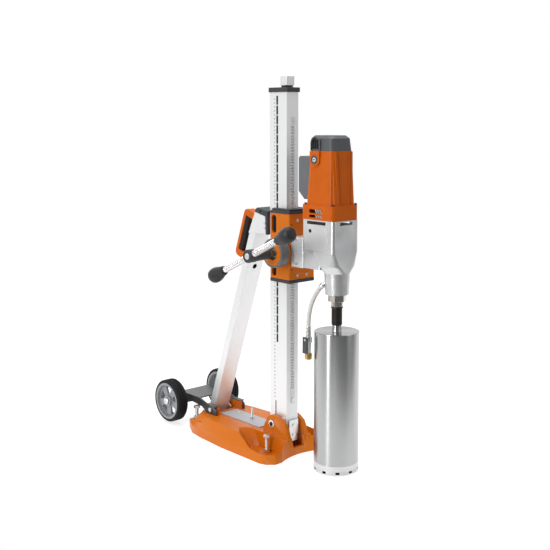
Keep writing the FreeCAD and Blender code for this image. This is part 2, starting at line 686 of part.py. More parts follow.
def crown_segments():
    """Diamond segments under the tube, each a little thicker than the wall."""
    ring = tube(0, SPINDLE_Y, BIT_Z0, BIT_R + 0.6, BIT_R - BIT_WALL - 0.6, 10)
    gaps = []
    for i in range(SEGMENTS):
        gap = box(-6.5, 6.5, SPINDLE_Y - 90, SPINDLE_Y, BIT_Z0 - 1, BIT_Z0 + 12)
        gap.rotate(V(0, SPINDLE_Y, 0), Z_AXIS, 360 / SEGMENTS * i - 4.4)
        gaps.append(gap)
    return cut(ring, gaps)


def switch_box():
    side = [(-170, 858), (-138, 858), (-112, 882), (-112, 986), (-118, 992), (-170, 992)]
    body = side_plate(side, -38, 38)
    pocket = box(31, 40, -142, -118, 916, 954)
    gland = rod(0, -140, 860, 7, 12, Z_AXIS * -1)
    return cut(join([body, gland]), [housing_outer(), pocket])


def power_switch():
    return side_plate([(-141, 918), (-119, 918), (-119, 952), (-141, 952)], 33.2, 37.6)


# ---------------------------------------------------------------- water feed

HOSE_R = 7.0
HOSE_SIDE = V(-0.745, 0.667, 0)            # level direction in which the hose leaves the nose


def hose_point(out, z):
    return V(0, SPINDLE_Y, z) + HOSE_SIDE * out


HOSE_ROUTE = [hose_point(44, 594), hose_point(89, 549), hose_point(89, 464)]
HOSE_START = tuple(HOSE_ROUTE[0])
HOSE_IN = (HOSE_ROUTE[0] - HOSE_ROUTE[1]).normalize()
VALVE = hose_point(89, 0)


def swept_hose(route, radius):
    """Straight runs joined by arcs that are tangent to both runs."""
    edges = []
    start = route[0]
    for i in range(1, len(route) - 1):
        before, corner, after = route[i - 1], route[i], route[i + 1]
        into = (corner - before).normalize()
        out = (after - corner).normalize()
        half_turn = into.getAngle(out) / 2
        run = min((corner - before).Length, (after - corner).Length)
        bend_r = 0.45 * run / math.tan(half_turn)
        print("hose bend radius %.1f mm" % bend_r)
        reach = bend_r * math.tan(half_turn)
        a, b = corner - into * reach, corner + out * reach
        middle = corner + (out - into).normalize() * (bend_r / math.cos(half_turn) - bend_r)
        edges += [Part.makeLine(start, a), Part.Arc(a, middle, b).toShape()]
        start = b
    edges.append(Part.makeLine(start, route[-1]))
    path = Part.Wire(edges)
    print("hose length %.1f mm" % path.Length)
    ring = Part.Wire([Part.makeCircle(radius, route[0], (route[1] - route[0]).normalize())])
    return path.makePipeShell([ring], True, False)


def water_hose():
    return swept_hose(HOSE_ROUTE, HOSE_R)


def valve_body():
    """Tap at the hose's lower end, with its ferrule, and the inlet stub in the gearbox nose."""
    x, y = VALVE.x, VALVE.y
    stub = Part.makeCylinder(5, 12, HOSE_ROUTE[0], HOSE_IN)
    ferrule = rod(x, y, 430, 8.8, 34)
    body = join([rod(x, y, 412, 11.5, 18), rod(x, y, 378, 8, 35), rod(x - 15, y, 421, 4, 15, X_AXIS)])
    coupling = join([rod(x, y, 358, 11, 20), hexagon(x, y, 364, 21, 10)]).cut(rod(x, y, 350, 6, 22))
    return Part.Compound([stub, ferrule, body, coupling])


def valve_lever():
    x, y = VALVE.x, VALVE.y
    plate = side_plate([(y - 9, 430), (y + 9, 430), (y + 10, 378), (y - 10, 378)], x - 16, x - 12.5)
    return plate.cut(rod(x - 20, y, 421, 4 + RUN_GAP, 20, X_AXIS))


# ---------------------------------------------------------------- write the pieces

PIECES = {
    "base_casting": base_casting,
    "cover_plate": cover_plate,
    "anchor_stud": anchor_stud,
    "pivot_pin": pivot_pin,
    "lock_nuts": lock_nuts,
    "wheel_bracket": wheel_bracket,
    "bracket_bolts": bracket_bolts,
    "axle": axle,
    "strut_foot_bracket": strut_foot_bracket,
    "rim_left": rim,
    "tyre_left": tyre,
    "rim_right": lambda: mirrored(rim()),
    "tyre_right": lambda: mirrored(tyre()),
    "levelling_screw_fl": lambda: levelling_screw(-LEVEL_X, LEVEL_FRONT_Y, 67),
    "levelling_screw_fr": lambda: levelling_screw(LEVEL_X, LEVEL_FRONT_Y, 67),
    "levelling_screw_rl": lambda: levelling_screw(-LEVEL_X, LEVEL_REAR_Y, 79),
    "levelling_screw_rr": lambda: levelling_screw(LEVEL_X, LEVEL_REAR_Y, 79),
    "column": column,
    "rack": rack,
    "column_screws": column_screws,
    "depth_scale": depth_scale,
    "column_cap": column_cap,
    "jack_nut": jack_nut,
    "column_foot": column_foot,
    "jack_screw": jack_screw,
    "strut_tube": strut_tube,
    "handle_frame": handle_frame,
    "handle_grip": handle_grip,
    "head_cheeks": head_cheeks,
    "strut_head": strut_head,
    "head_screws": head_screws,
    "carriage_body": carriage_body,
    "carriage_top_plate": lambda: end_plate(CAR_Z1, CAR_Z1 + 8, 6),
    "carriage_bottom_plate": lambda: end_plate(CAR_Z0 - 12, CAR_Z0, 0),
    "carriage_screws": carriage_screws,
    "glide_pads": glide_pads,
    "feed_housing": feed_housing,
    "face_ring": face_ring,
    "feed_bushes": feed_bushes,
    "pinion_shaft": pinion_shaft,
    "crank_hub": crank_hub,
    "crank_rods": crank_rods,
    "crank_knobs": crank_knobs,
    "mounting_block": mounting_block,
    "gearbox_housing": gearbox_housing,
    "motor_flange": motor_flange,
    "motor_housing": motor_housing,
    "motor_cap": motor_cap,
    "motor_core": lambda: Part.Compound([stator(), brush_sets(), bearings()]),
    "armature": armature,
    "spindle": spindle,
    "spindle_nut": spindle_nut,
    "bit_sleeve": bit_sleeve,
    "core_bit": core_bit,
    "crown_segments": crown_segments,
    "switch_box": switch_box,
    "power_switch": power_switch,
    "water_hose": water_hose,
    "valve_body": valve_body,
    "valve_lever": valve_lever,
}

os.makedirs("parts", exist_ok=True)
for name, make in PIECES.items():
    make().exportStep("parts/%s.step" % name)
print("%d pieces written" % len(PIECES))
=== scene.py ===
"""Core drill rig: a tilting stand on wheels, a rack-fed carriage, a water-fed drill and a core bit."""

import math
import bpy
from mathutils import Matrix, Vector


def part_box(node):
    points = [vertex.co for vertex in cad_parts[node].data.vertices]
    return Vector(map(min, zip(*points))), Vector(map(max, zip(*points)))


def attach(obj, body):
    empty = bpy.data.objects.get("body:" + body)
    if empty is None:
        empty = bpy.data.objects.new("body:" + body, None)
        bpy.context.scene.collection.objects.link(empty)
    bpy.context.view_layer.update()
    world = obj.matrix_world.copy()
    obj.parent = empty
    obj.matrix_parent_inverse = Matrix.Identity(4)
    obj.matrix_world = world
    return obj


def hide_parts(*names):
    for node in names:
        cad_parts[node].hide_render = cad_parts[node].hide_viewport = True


bl_info = {
    "name": "Core Drill Rig",
    "version": (1, 0, 0),
    "blender": (4, 5, 0),
    "location": "3D View > Sidebar > Core Drill Rig",
    "description": "Builds the visible pieces, finishes and stage of a core drill rig on its packed frame",
    "category": "Add Mesh",
}

import bpy
from bpy.props import FloatProperty, FloatVectorProperty, IntProperty, PointerProperty
from bpy.types import Operator, Panel, PropertyGroup
from mathutils import Matrix, Vector

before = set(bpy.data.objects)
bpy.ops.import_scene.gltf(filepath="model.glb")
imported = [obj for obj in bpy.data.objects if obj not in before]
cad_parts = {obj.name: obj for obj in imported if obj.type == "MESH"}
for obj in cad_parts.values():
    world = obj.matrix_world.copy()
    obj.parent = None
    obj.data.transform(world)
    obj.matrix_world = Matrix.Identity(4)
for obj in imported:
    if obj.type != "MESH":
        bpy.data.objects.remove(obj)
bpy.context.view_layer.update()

X, Y, Z = Vector((1, 0, 0)), Vector((0, 1, 0)), Vector((0, 0, 1))


def middle(node):
    """Centre of a node's box."""
    low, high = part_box(node)
    return (Vector(low) + Vector(high)) / 2


BIT = middle("core_bit")
FEED = middle("face_ring")
WHEEL = middle("tyre_left")
TAP = middle("valve_body")
BRUSH = Vector((0, -0.198, 0.983))
BOSS_RADIUS, BOSS_FACE = 0.0215, 0.0535          # boss round a brush cap, and the plane of its face
HOUSING_FOOT, HOUSING_RISE = 0.844, 0.166        # where the motor housing starts, and how tall it is
CHANNEL_RADIUS, CORNER_RADIUS = 0.0085, 0.0200   # screw channel, and the housing corner that it runs up
SCALE_START, BAR_GAP = 0.372, 0.0028             # foot of the scale's dashed line, and the gap between dashes
HOSE_SIDE = Vector((-0.745, 0.667, 0))


def hose_point(out, height):
    """A point beside the spindle, out along the hose's own level direction."""
    return Vector((0, BIT.y, height)) + HOSE_SIDE * out


HOSE_ROUTE = [hose_point(0.044, 0.594), hose_point(0.089, 0.549), hose_point(0.089, 0.464)]
VALVE = hose_point(0.089, 0)


# ---------------------------------------------------------------- settings

def length(name, default, description):
    """A length that a user may change."""
    return FloatProperty(name=name, description=description, default=default, min=0, unit="LENGTH",
                         precision=4)


def colour(name, default, description):
    """A linear colour that a user may change."""
    return FloatVectorProperty(name=name, description=description, default=default, size=3, min=0, max=1,
                               subtype="COLOR")


class RigSizes(PropertyGroup):
    """Sizes of the visible detail; the main sizes belong to the frame."""

    casting_edge: length("Casting edge", 0.0028, "Radius on the edges of the orange and silver castings")
    moulding_edge: length("Moulding edge", 0.0022, "Radius on the edges of moulded plastic parts")
    machined_edge: length("Machined edge", 0.0008, "Radius on the edges of cut and machined parts")
    hose_diameter: length("Hose diameter", 0.014, "Outside diameter of the water hose")
    mark_pitch: length("Mark pitch", 0.0125, "Distance between two marks of the depth scale")
    line_pitch: length("Line pitch", 0.0312, "Distance between two gaps in the scale's black line")
    tread_blocks: IntProperty(name="Tread blocks", description="Blocks round a tyre", default=54, min=12)
    turning_steps: IntProperty(name="Turning steps", description="Sides of a turned piece", default=64,
                               min=16)


class RigColours(PropertyGroup):
    """Colours of the finishes."""

    orange_coat: colour("Orange coat", (0.74, 0.180, 0.004), "Powder coat on the stand's castings")
    orange_plastic: colour("Orange plastic", (0.66, 0.125, 0.003), "Moulded motor housing and handle")
    dark_plastic: colour("Dark plastic", (0.050, 0.052, 0.056), "Caps, knobs and end plates")
    grey_plastic: colour("Grey plastic", (0.15, 0.16, 0.17), "Switch box")
    rim_plastic: colour("Rim plastic", (0.29, 0.305, 0.315), "Wheel rims")
    black_rubber: colour("Black rubber", (0.008, 0.008, 0.009), "Tyres and grip")
    cast_silver: colour("Cast silver", (0.70, 0.705, 0.71), "Gearbox and mounting block")
    pale_extrusion: colour("Pale extrusion", (0.86, 0.865, 0.87), "Column and strut")
    bit_steel: colour("Bit steel", (0.46, 0.463, 0.466), "Core bit tube")


# ---------------------------------------------------------------- workshop

def lone(piece):
    """Leaves only this piece selected, and active."""
    bpy.ops.object.select_all(action="DESELECT")
    piece.select_set(True)
    bpy.context.view_layer.objects.active = piece
    return piece


def round_over(piece, width, segments=2, angle=30):
    """Rounds a piece's sharp edges and evens the shading across them."""
    lone(piece)
    bevel = piece.modifiers.new("Rounded edges", "BEVEL")
    bevel.width = width
    bevel.segments = segments
    bevel.limit_method = "ANGLE"
    bevel.angle_limit = math.radians(angle)
    bevel.use_clamp_overlap = True
    bpy.ops.object.modifier_apply(modifier=bevel.name)
    return piece


def carried(node, name, width, segments=2, angle=30):
    """A piece that starts as a merged copy of the frame's solid and has its edges rounded over."""
    piece = bpy.data.objects.new(name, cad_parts[node].data.copy())
    bpy.context.scene.collection.objects.link(piece)
    piece.data.materials.clear()
    lone(piece)
    bpy.ops.mesh.customdata_custom_splitnormals_clear()
    bpy.ops.object.mode_set(mode="EDIT")
    bpy.ops.mesh.select_all(action="SELECT")
    bpy.ops.mesh.remove_doubles(threshold=0.00001)
    bpy.ops.mesh.dissolve_limited(angle_limit=math.radians(0.3))
    bpy.ops.object.mode_set(mode="OBJECT")
    return round_over(piece, width, segments, angle)


def stand_at(piece, origin, along):
    """Turns a piece made about Z to another axis, moves it there and keeps that in its mesh."""
    turn = Z.rotation_difference(Vector(along)).to_matrix().to_4x4()
    piece.matrix_world = Matrix.Translation(Vector(origin)) @ turn
    lone(piece)
    bpy.ops.object.transform_apply(location=True, rotation=True, scale=True)
    return piece


def turned(name, profile, origin=(0, 0, 0), along=(0, 0, 1), steps=None):
    """A lathe-turned piece: one point is extruded along (height, radius) pairs and the line is spun."""
    steps = steps or bpy.context.scene.rig_sizes.turning_steps
    bpy.ops.object.select_all(action="DESELECT")
    bpy.ops.mesh.primitive_plane_add(size=0.001)
    piece = bpy.context.object
    piece.name = name
    bpy.ops.object.mode_set(mode="EDIT")
    bpy.ops.mesh.select_all(action="SELECT")
    bpy.ops.mesh.merge(type="CENTER")
    bpy.ops.transform.translate(value=(profile[0][1], 0, profile[0][0]))
    for (z0, r0), (z1, r1) in zip(profile, profile[1:]):
        bpy.ops.mesh.extrude_region_move(TRANSFORM_OT_translate={"value": (r1 - r0, 0, z1 - z0)})
    bpy.ops.mesh.select_all(action="SELECT")
    bpy.ops.mesh.spin(steps=steps, angle=2 * math.pi, center=(0, 0, 0), axis=(0, 0, 1))
    bpy.ops.mesh.select_all(action="SELECT")
    bpy.ops.mesh.remove_doubles(threshold=0.000004)
    bpy.ops.mesh.normals_make_consistent(inside=False)
    bpy.ops.object.mode_set(mode="OBJECT")
    return stand_at(piece, origin, along)


def thread(z0, z1, radius, depth, pitch):
    """Profile points of a screw thread from z0 to z1."""
    turns = int(abs(z1 - z0) / pitch)
    points = []
    for i in range(turns):
        z = z0 + (z1 - z0) * i / turns
        points += [(z, radius - depth), (z + (z1 - z0) / turns * 0.5, radius)]
    return points + [(z1, radius - depth)]


def plate(name, outline, low, high, width, segments=2, along=X):
    """A flat piece: a filled ring laid on the outline, extruded from low to high along an axis."""
    bpy.ops.object.select_all(action="DESELECT")
    bpy.ops.mesh.primitive_circle_add(vertices=len(outline), fill_type="NGON")
    piece = bpy.context.object
    piece.name = name
    first, second = (Y, Z) if along == X else (X, Z) if along == Y else (X, Y)
    for vertex, (u, v) in zip(piece.data.vertices, outline):
        vertex.co = first * u + second * v + along * low
    bpy.ops.object.mode_set(mode="EDIT")
    bpy.ops.mesh.select_all(action="SELECT")
    bpy.ops.mesh.extrude_region_move(TRANSFORM_OT_translate={"value": along * (high - low)})
    bpy.ops.mesh.select_all(action="SELECT")
    bpy.ops.mesh.normals_make_consistent(inside=False)
    bpy.ops.object.mode_set(mode="OBJECT")
    return round_over(piece, width, segments)


def block(name, low, high, width, segments=3):
    """A cube added at its size and place, its edges rounded over."""
    low, high = Vector(low), Vector(high)
    bpy.ops.object.select_all(action="DESELECT")
    bpy.ops.mesh.primitive_cube_add(size=1, location=(low + high) / 2, scale=high - low)
    piece = bpy.context.object
    piece.name = name
    bpy.ops.object.transform_apply(location=True, rotation=True, scale=True)
    return round_over(piece, width, segments)


def hexagon(name, centre, across, height, along=Z):
    """A hexagon with its upper corners chamfered and a raised washer face on each end."""
    bpy.ops.object.select_all(action="DESELECT")
    bpy.ops.mesh.primitive_cylinder_add(vertices=6, radius=across / math.sqrt(3), depth=height * 0.94)
    piece = bpy.context.object
    piece.name = name
    bpy.ops.object.mode_set(mode="EDIT")
    bpy.ops.mesh.select_mode(type="FACE")
    bpy.ops.mesh.select_all(action="DESELECT")
    bpy.ops.object.mode_set(mode="OBJECT")
    for face in piece.data.polygons:
        face.select = abs(face.normal.z) > 0.9
    bpy.ops.object.mode_set(mode="EDIT")
    bpy.ops.mesh.inset(thickness=across * 0.07, depth=height * 0.03, use_individual=True)
    bpy.ops.mesh.select_mode(type="VERT")
    bpy.ops.object.mode_set(mode="OBJECT")
    round_over(piece, across * 0.02, 2, 20)
    return stand_at(piece, centre, along)


def copied(piece, name, move):
    """A copy with its own mesh, moved over."""
    twin = bpy.data.objects.new(name, piece.data.copy())
    bpy.context.scene.collection.objects.link(twin)
    twin.data.transform(move)
    if move.determinant() < 0:
        twin.data.flip_normals()
    return twin


MIRROR = Matrix.Diagonal((-1, 1, 1, 1))


def joined(name, pieces):
    """One piece out of several."""
    lone(pieces[0])
    for piece in pieces[1:]:
        piece.select_set(True)
    bpy.ops.object.join()
    pieces[0].name = name
    return pieces[0]


def settle(piece, body, finish, stands_for=(), angle=32):
    """Gives a piece its finish and shading and sets it on its body."""
    lone(piece)
    piece.data.materials.clear()
    piece.data.materials.append(finish)
    bpy.ops.object.shade_smooth_by_angle(angle=math.radians(angle))
    even = piece.modifiers.new("Even shading", "WEIGHTED_NORMAL")
    even.keep_sharp = True
    bpy.ops.object.modifier_apply(modifier=even.name)
    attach(piece, body)
    if stands_for:
        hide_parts(*stands_for)
    return piece


def refinish(node, finish):
    """A better finish on a node that keeps its own shape."""
    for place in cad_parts[node].material_slots:
        place.material = finish


def laid_out(nodes, places):
    """Sets each node's place in the editor."""
    for node, place in zip(nodes, places):
        node.location = place


# ---------------------------------------------------------------- finishes

def coated_finish(name, colour, roughness, coat, shine=0.25):
    """Powder coat on a casting: slow tint patches, a fine orange peel, and pale worn edges."""
    material = bpy.data.materials.new(name)
    material.use_nodes = True
    nodes, links = material.node_tree.nodes, material.node_tree.links
    nodes.clear()

    place = nodes.new("ShaderNodeTexCoord")
    place.label = "Place on the rig"

    tint_frame = nodes.new("NodeFrame")
    tint_frame.label = "Tint of the coat"
    patches = nodes.new("ShaderNodeTexNoise")
    patches.label = "Slow patches where the coat is thicker"
    patches.inputs["Scale"].default_value = 14
    patches.inputs["Detail"].default_value = 4
    tint = nodes.new("ShaderNodeMix")
    tint.label = "Thin coat to thick coat"
    tint.data_type = "RGBA"
    tint.inputs["A"].default_value = (*[c * 0.90 for c in colour], 1)
    tint.inputs["B"].default_value = (*[min(1, c * 1.06) for c in colour], 1)

    wear_frame = nodes.new("NodeFrame")
    wear_frame.label = "Worn edges"
    shape = nodes.new("ShaderNodeNewGeometry")
    shape.label = "How sharp the surface turns"
    edges = nodes.new("ShaderNodeMapRange")
    edges.label = "Only the sharpest edges"
    edges.inputs["From Min"].default_value = 0.53
    edges.inputs["From Max"].default_value = 0.66
    edges.inputs["To Max"].default_value = 0.45
    scuffs = nodes.new("ShaderNodeTexNoise")
    scuffs.label = "Broken scuffs along an edge"
    scuffs.inputs["Scale"].default_value = 120
    broken = nodes.new("ShaderNodeMath")
    broken.label = "Edge times scuffs"
    broken.operation = "MULTIPLY"
    worn = nodes.new("ShaderNodeMix")
    worn.label = "Coat rubbed paler"
    worn.data_type = "RGBA"
    worn.inputs["B"].default_value = (*[min(1, c * 0.6 + 0.36) for c in colour], 1)

    gloss_frame = nodes.new("NodeFrame")
    gloss_frame.label = "Gloss"
    smears = nodes.new("ShaderNodeTexNoise")
    smears.label = "Handled patches"
    smears.inputs["Scale"].default_value = 38
    smears.inputs["Detail"].default_value = 6
    gloss = nodes.new("ShaderNodeMapRange")
    gloss.label = "Roughness of the coat"
    gloss.inputs["To Min"].default_value = roughness - 0.07
    gloss.inputs["To Max"].default_value = roughness + 0.12

    peel_frame = nodes.new("NodeFrame")
    peel_frame.label = "Orange peel"
    peel = nodes.new("ShaderNodeTexNoise")
    peel.label = "Fine waves in the cured powder"
    peel.inputs["Scale"].default_value = 620
    peel.inputs["Detail"].default_value = 2
    relief = nodes.new("ShaderNodeBump")
    relief.label = "Depth of the peel"
    relief.inputs["Strength"].default_value = 0.10
    relief.inputs["Distance"].default_value = 0.0004

    shader = nodes.new("ShaderNodeBsdfPrincipled")
    shader.label = "Powder coat"
    shader.inputs["Specular IOR Level"].default_value = shine
    shader.inputs["Coat Weight"].default_value = coat
    shader.inputs["Coat Roughness"].default_value = 0.16
    surface = nodes.new("ShaderNodeOutputMaterial")
    surface.label = "Casting surface"

    for node, group in ((patches, tint_frame), (tint, tint_frame), (shape, wear_frame), (edges, wear_frame),
                        (scuffs, wear_frame), (broken, wear_frame), (worn, wear_frame), (smears, gloss_frame),
                        (gloss, gloss_frame), (peel, peel_frame), (relief, peel_frame)):
        node.parent = group
    laid_out((place, patches, tint, shape, edges, scuffs, broken, worn, smears, gloss, peel, relief, shader,
              surface),
             ((-1100, 0), (-800, 300), (-600, 300), (-800, 50), (-600, 50), (-800, -100), (-400, 0),
              (-200, 200),
              (-800, -320), (-600, -320), (-800, -600), (-600, -600), (100, 0), (420, 0)))

    links.new(place.outputs["Object"], patches.inputs["Vector"])
    links.new(patches.outputs["Fac"], tint.inputs["Factor"])
    links.new(shape.outputs["Pointiness"], edges.inputs["Value"])
    links.new(place.outputs["Object"], scuffs.inputs["Vector"])
    links.new(edges.outputs["Result"], broken.inputs[0])
    links.new(scuffs.outputs["Fac"], broken.inputs[1])
    links.new(tint.outputs["Result"], worn.inputs["A"])
    links.new(broken.outputs["Value"], worn.inputs["Factor"])
    links.new(worn.outputs["Result"], shader.inputs["Base Color"])
    links.new(place.outputs["Object"], smears.inputs["Vector"])
    links.new(smears.outputs["Fac"], gloss.inputs["Value"])
    links.new(gloss.outputs["Result"], shader.inputs["Roughness"])
    links.new(place.outputs["Object"], peel.inputs["Vector"])
    links.new(peel.outputs["Fac"], relief.inputs["Height"])
    links.new(relief.outputs["Normal"], shader.inputs["Normal"])
    links.new(shader.outputs["BSDF"], surface.inputs["Surface"])
    return material


def moulded_finish(name, colour, roughness, grain, depth, shine=0.28):
    """Moulded plastic: spark-eroded leather grain, a little uneven colour and rubbed gloss."""
    material = bpy.data.materials.new(name)
    material.use_nodes = True
    nodes, links = material.node_tree.nodes, material.node_tree.links
    nodes.clear()

    place = nodes.new("ShaderNodeTexCoord")
    place.label = "Place on the rig"

    tint_frame = nodes.new("NodeFrame")
    tint_frame.label = "Colour of the plastic"
    flow = nodes.new("ShaderNodeTexNoise")
    flow.label = "Flow marks of the moulding"
    flow.inputs["Scale"].default_value = 22
    flow.inputs["Detail"].default_value = 5
    flow.inputs["Distortion"].default_value = 0.6
    tint = nodes.new("ShaderNodeMix")
    tint.label = "Dull to fresh"
    tint.data_type = "RGBA"
    tint.inputs["A"].default_value = (*[c * 0.88 for c in colour], 1)
    tint.inputs["B"].default_value = (*[min(1, c * 1.08 + 0.004) for c in colour], 1)

    gloss_frame = nodes.new("NodeFrame")
    gloss_frame.label = "Gloss"
    rubbed = nodes.new("ShaderNodeTexNoise")
    rubbed.label = "Patches rubbed by hands"
    rubbed.inputs["Scale"].default_value = 30
    rubbed.inputs["Detail"].default_value = 5
    gloss = nodes.new("ShaderNodeMapRange")
    gloss.label = "Roughness of the plastic"
    gloss.inputs["To Min"].default_value = roughness - 0.08
    gloss.inputs["To Max"].default_value = roughness + 0.10

    grain_frame = nodes.new("NodeFrame")
    grain_frame.label = "Grain of the mould"
    cells = nodes.new("ShaderNodeTexVoronoi")
    cells.label = "Pebbles"
    cells.inputs["Scale"].default_value = grain
    dust = nodes.new("ShaderNodeTexNoise")
    dust.label = "Finer roughness between pebbles"
    dust.inputs["Scale"].default_value = grain * 1.7
    mixed = nodes.new("ShaderNodeMath")
    mixed.label = "Pebbles with dust"
    mixed.operation = "ADD"
    relief = nodes.new("ShaderNodeBump")
    relief.label = "Depth of the grain"
    relief.inputs["Strength"].default_value = depth
    relief.inputs["Distance"].default_value = 0.0003

    shader = nodes.new("ShaderNodeBsdfPrincipled")
    shader.label = "Plastic"
    shader.inputs["Specular IOR Level"].default_value = shine
    surface = nodes.new("ShaderNodeOutputMaterial")
    surface.label = "Moulded surface"

    for node, group in ((flow, tint_frame), (tint, tint_frame), (rubbed, gloss_frame), (gloss, gloss_frame),
                        (cells, grain_frame), (dust, grain_frame), (mixed, grain_frame),
                        (relief, grain_frame)):
        node.parent = group
    laid_out((place, flow, tint, rubbed, gloss, cells, dust, mixed, relief, shader, surface),
             ((-1100, 0), (-800, 260), (-560, 260), (-800, -20), (-560, -20), (-800, -280), (-800, -500),
              (-560, -340), (-360, -340), (60, 0), (380, 0)))

    links.new(place.outputs["Object"], flow.inputs["Vector"])
    links.new(flow.outputs["Fac"], tint.inputs["Factor"])
    links.new(tint.outputs["Result"], shader.inputs["Base Color"])
    links.new(place.outputs["Object"], rubbed.inputs["Vector"])
    links.new(rubbed.outputs["Fac"], gloss.inputs["Value"])
    links.new(gloss.outputs["Result"], shader.inputs["Roughness"])
    links.new(place.outputs["Object"], cells.inputs["Vector"])
    links.new(place.outputs["Object"], dust.inputs["Vector"])
    links.new(cells.outputs["Distance"], mixed.inputs[0])
    links.new(dust.outputs["Fac"], mixed.inputs[1])
    links.new(mixed.outputs["Value"], relief.inputs["Height"])
    links.new(relief.outputs["Normal"], shader.inputs["Normal"])
    links.new(shader.outputs["BSDF"], surface.inputs["Surface"])
    return material


def cast_finish(name, colour, roughness, metallic=0.85):
    """Blasted silver casting: sandy grain, faint flow clouds, edges burnished brighter."""
    material = bpy.data.materials.new(name)
    material.use_nodes = True
    nodes, links = material.node_tree.nodes, material.node_tree.links
    nodes.clear()

    place = nodes.new("ShaderNodeTexCoord")
    place.label = "Place on the rig"

    tone_frame = nodes.new("NodeFrame")
    tone_frame.label = "Tone of the metal"
    clouds = nodes.new("ShaderNodeTexNoise")
    clouds.label = "Flow clouds of the pour"
    clouds.inputs["Scale"].default_value = 26
    clouds.inputs["Detail"].default_value = 6
    tone = nodes.new("ShaderNodeMix")
    tone.label = "Dull to bright"
    tone.data_type = "RGBA"
    tone.inputs["A"].default_value = (*[c * 0.86 for c in colour], 1)
    tone.inputs["B"].default_value = (*[min(1, c * 1.10) for c in colour], 1)
    shape = nodes.new("ShaderNodeNewGeometry")
    shape.label = "How sharp the surface turns"
    edges = nodes.new("ShaderNodeMapRange")
    edges.label = "Burnished edges"
    edges.inputs["From Min"].default_value = 0.52
    edges.inputs["From Max"].default_value = 0.62
    edges.inputs["To Max"].default_value = 0.6
    bright = nodes.new("ShaderNodeMix")
    bright.label = "Bare bright metal"
    bright.data_type = "RGBA"
    bright.inputs["B"].default_value = (0.93, 0.93, 0.93, 1)

    gloss_frame = nodes.new("NodeFrame")
    gloss_frame.label = "Gloss"
    gloss = nodes.new("ShaderNodeMapRange")
    gloss.label = "Roughness of the blasting"
    gloss.inputs["To Min"].default_value = roughness - 0.08
    gloss.inputs["To Max"].default_value = roughness + 0.10

    sand_frame = nodes.new("NodeFrame")
    sand_frame.label = "Sandy grain"
    sand = nodes.new("ShaderNodeTexNoise")
    sand.label = "Grit of the blasting"
    sand.inputs["Scale"].default_value = 900
    sand.inputs["Detail"].default_value = 3
    pits = nodes.new("ShaderNodeTexVoronoi")
    pits.label = "Shallow pits"
    pits.inputs["Scale"].default_value = 260
    grit = nodes.new("ShaderNodeMath")
    grit.label = "Grit with pits"
    grit.operation = "MULTIPLY_ADD"
    grit.inputs[1].default_value = 0.6
    relief = nodes.new("ShaderNodeBump")
    relief.label = "Depth of the grit"
    relief.inputs["Strength"].default_value = 0.16
    relief.inputs["Distance"].default_value = 0.0004

    shader = nodes.new("ShaderNodeBsdfPrincipled")
    shader.label = "Cast metal"
    shader.inputs["Metallic"].default_value = metallic
    surface = nodes.new("ShaderNodeOutputMaterial")
    surface.label = "Casting surface"

    for node, group in ((clouds, tone_frame), (tone, tone_frame), (shape, tone_frame), (edges, tone_frame),
                        (bright, tone_frame), (gloss, gloss_frame), (sand, sand_frame), (pits, sand_frame),
                        (grit, sand_frame), (relief, sand_frame)):
        node.parent = group
    laid_out((place, clouds, tone, shape, edges, bright, gloss, sand, pits, grit, relief, shader, surface),
             ((-1100, 0), (-800, 300), (-560, 300), (-800, 80), (-560, 80), (-320, 200), (-560, -120),
              (-800, -320), (-800, -540), (-560, -380), (-340, -380), (60, 0), (380, 0)))

    links.new(place.outputs["Object"], clouds.inputs["Vector"])
    links.new(clouds.outputs["Fac"], tone.inputs["Factor"])
    links.new(shape.outputs["Pointiness"], edges.inputs["Value"])
    links.new(tone.outputs["Result"], bright.inputs["A"])
    links.new(edges.outputs["Result"], bright.inputs["Factor"])
    links.new(bright.outputs["Result"], shader.inputs["Base Color"])
    links.new(clouds.outputs["Fac"], gloss.inputs["Value"])
    links.new(gloss.outputs["Result"], shader.inputs["Roughness"])
    links.new(place.outputs["Object"], sand.inputs["Vector"])
    links.new(place.outputs["Object"], pits.inputs["Vector"])
    links.new(pits.outputs["Distance"], grit.inputs[0])
    links.new(sand.outputs["Fac"], grit.inputs[2])
    links.new(grit.outputs["Value"], relief.inputs["Height"])
    links.new(relief.outputs["Normal"], shader.inputs["Normal"])
    links.new(shader.outputs["BSDF"], surface.inputs["Surface"])
    return material


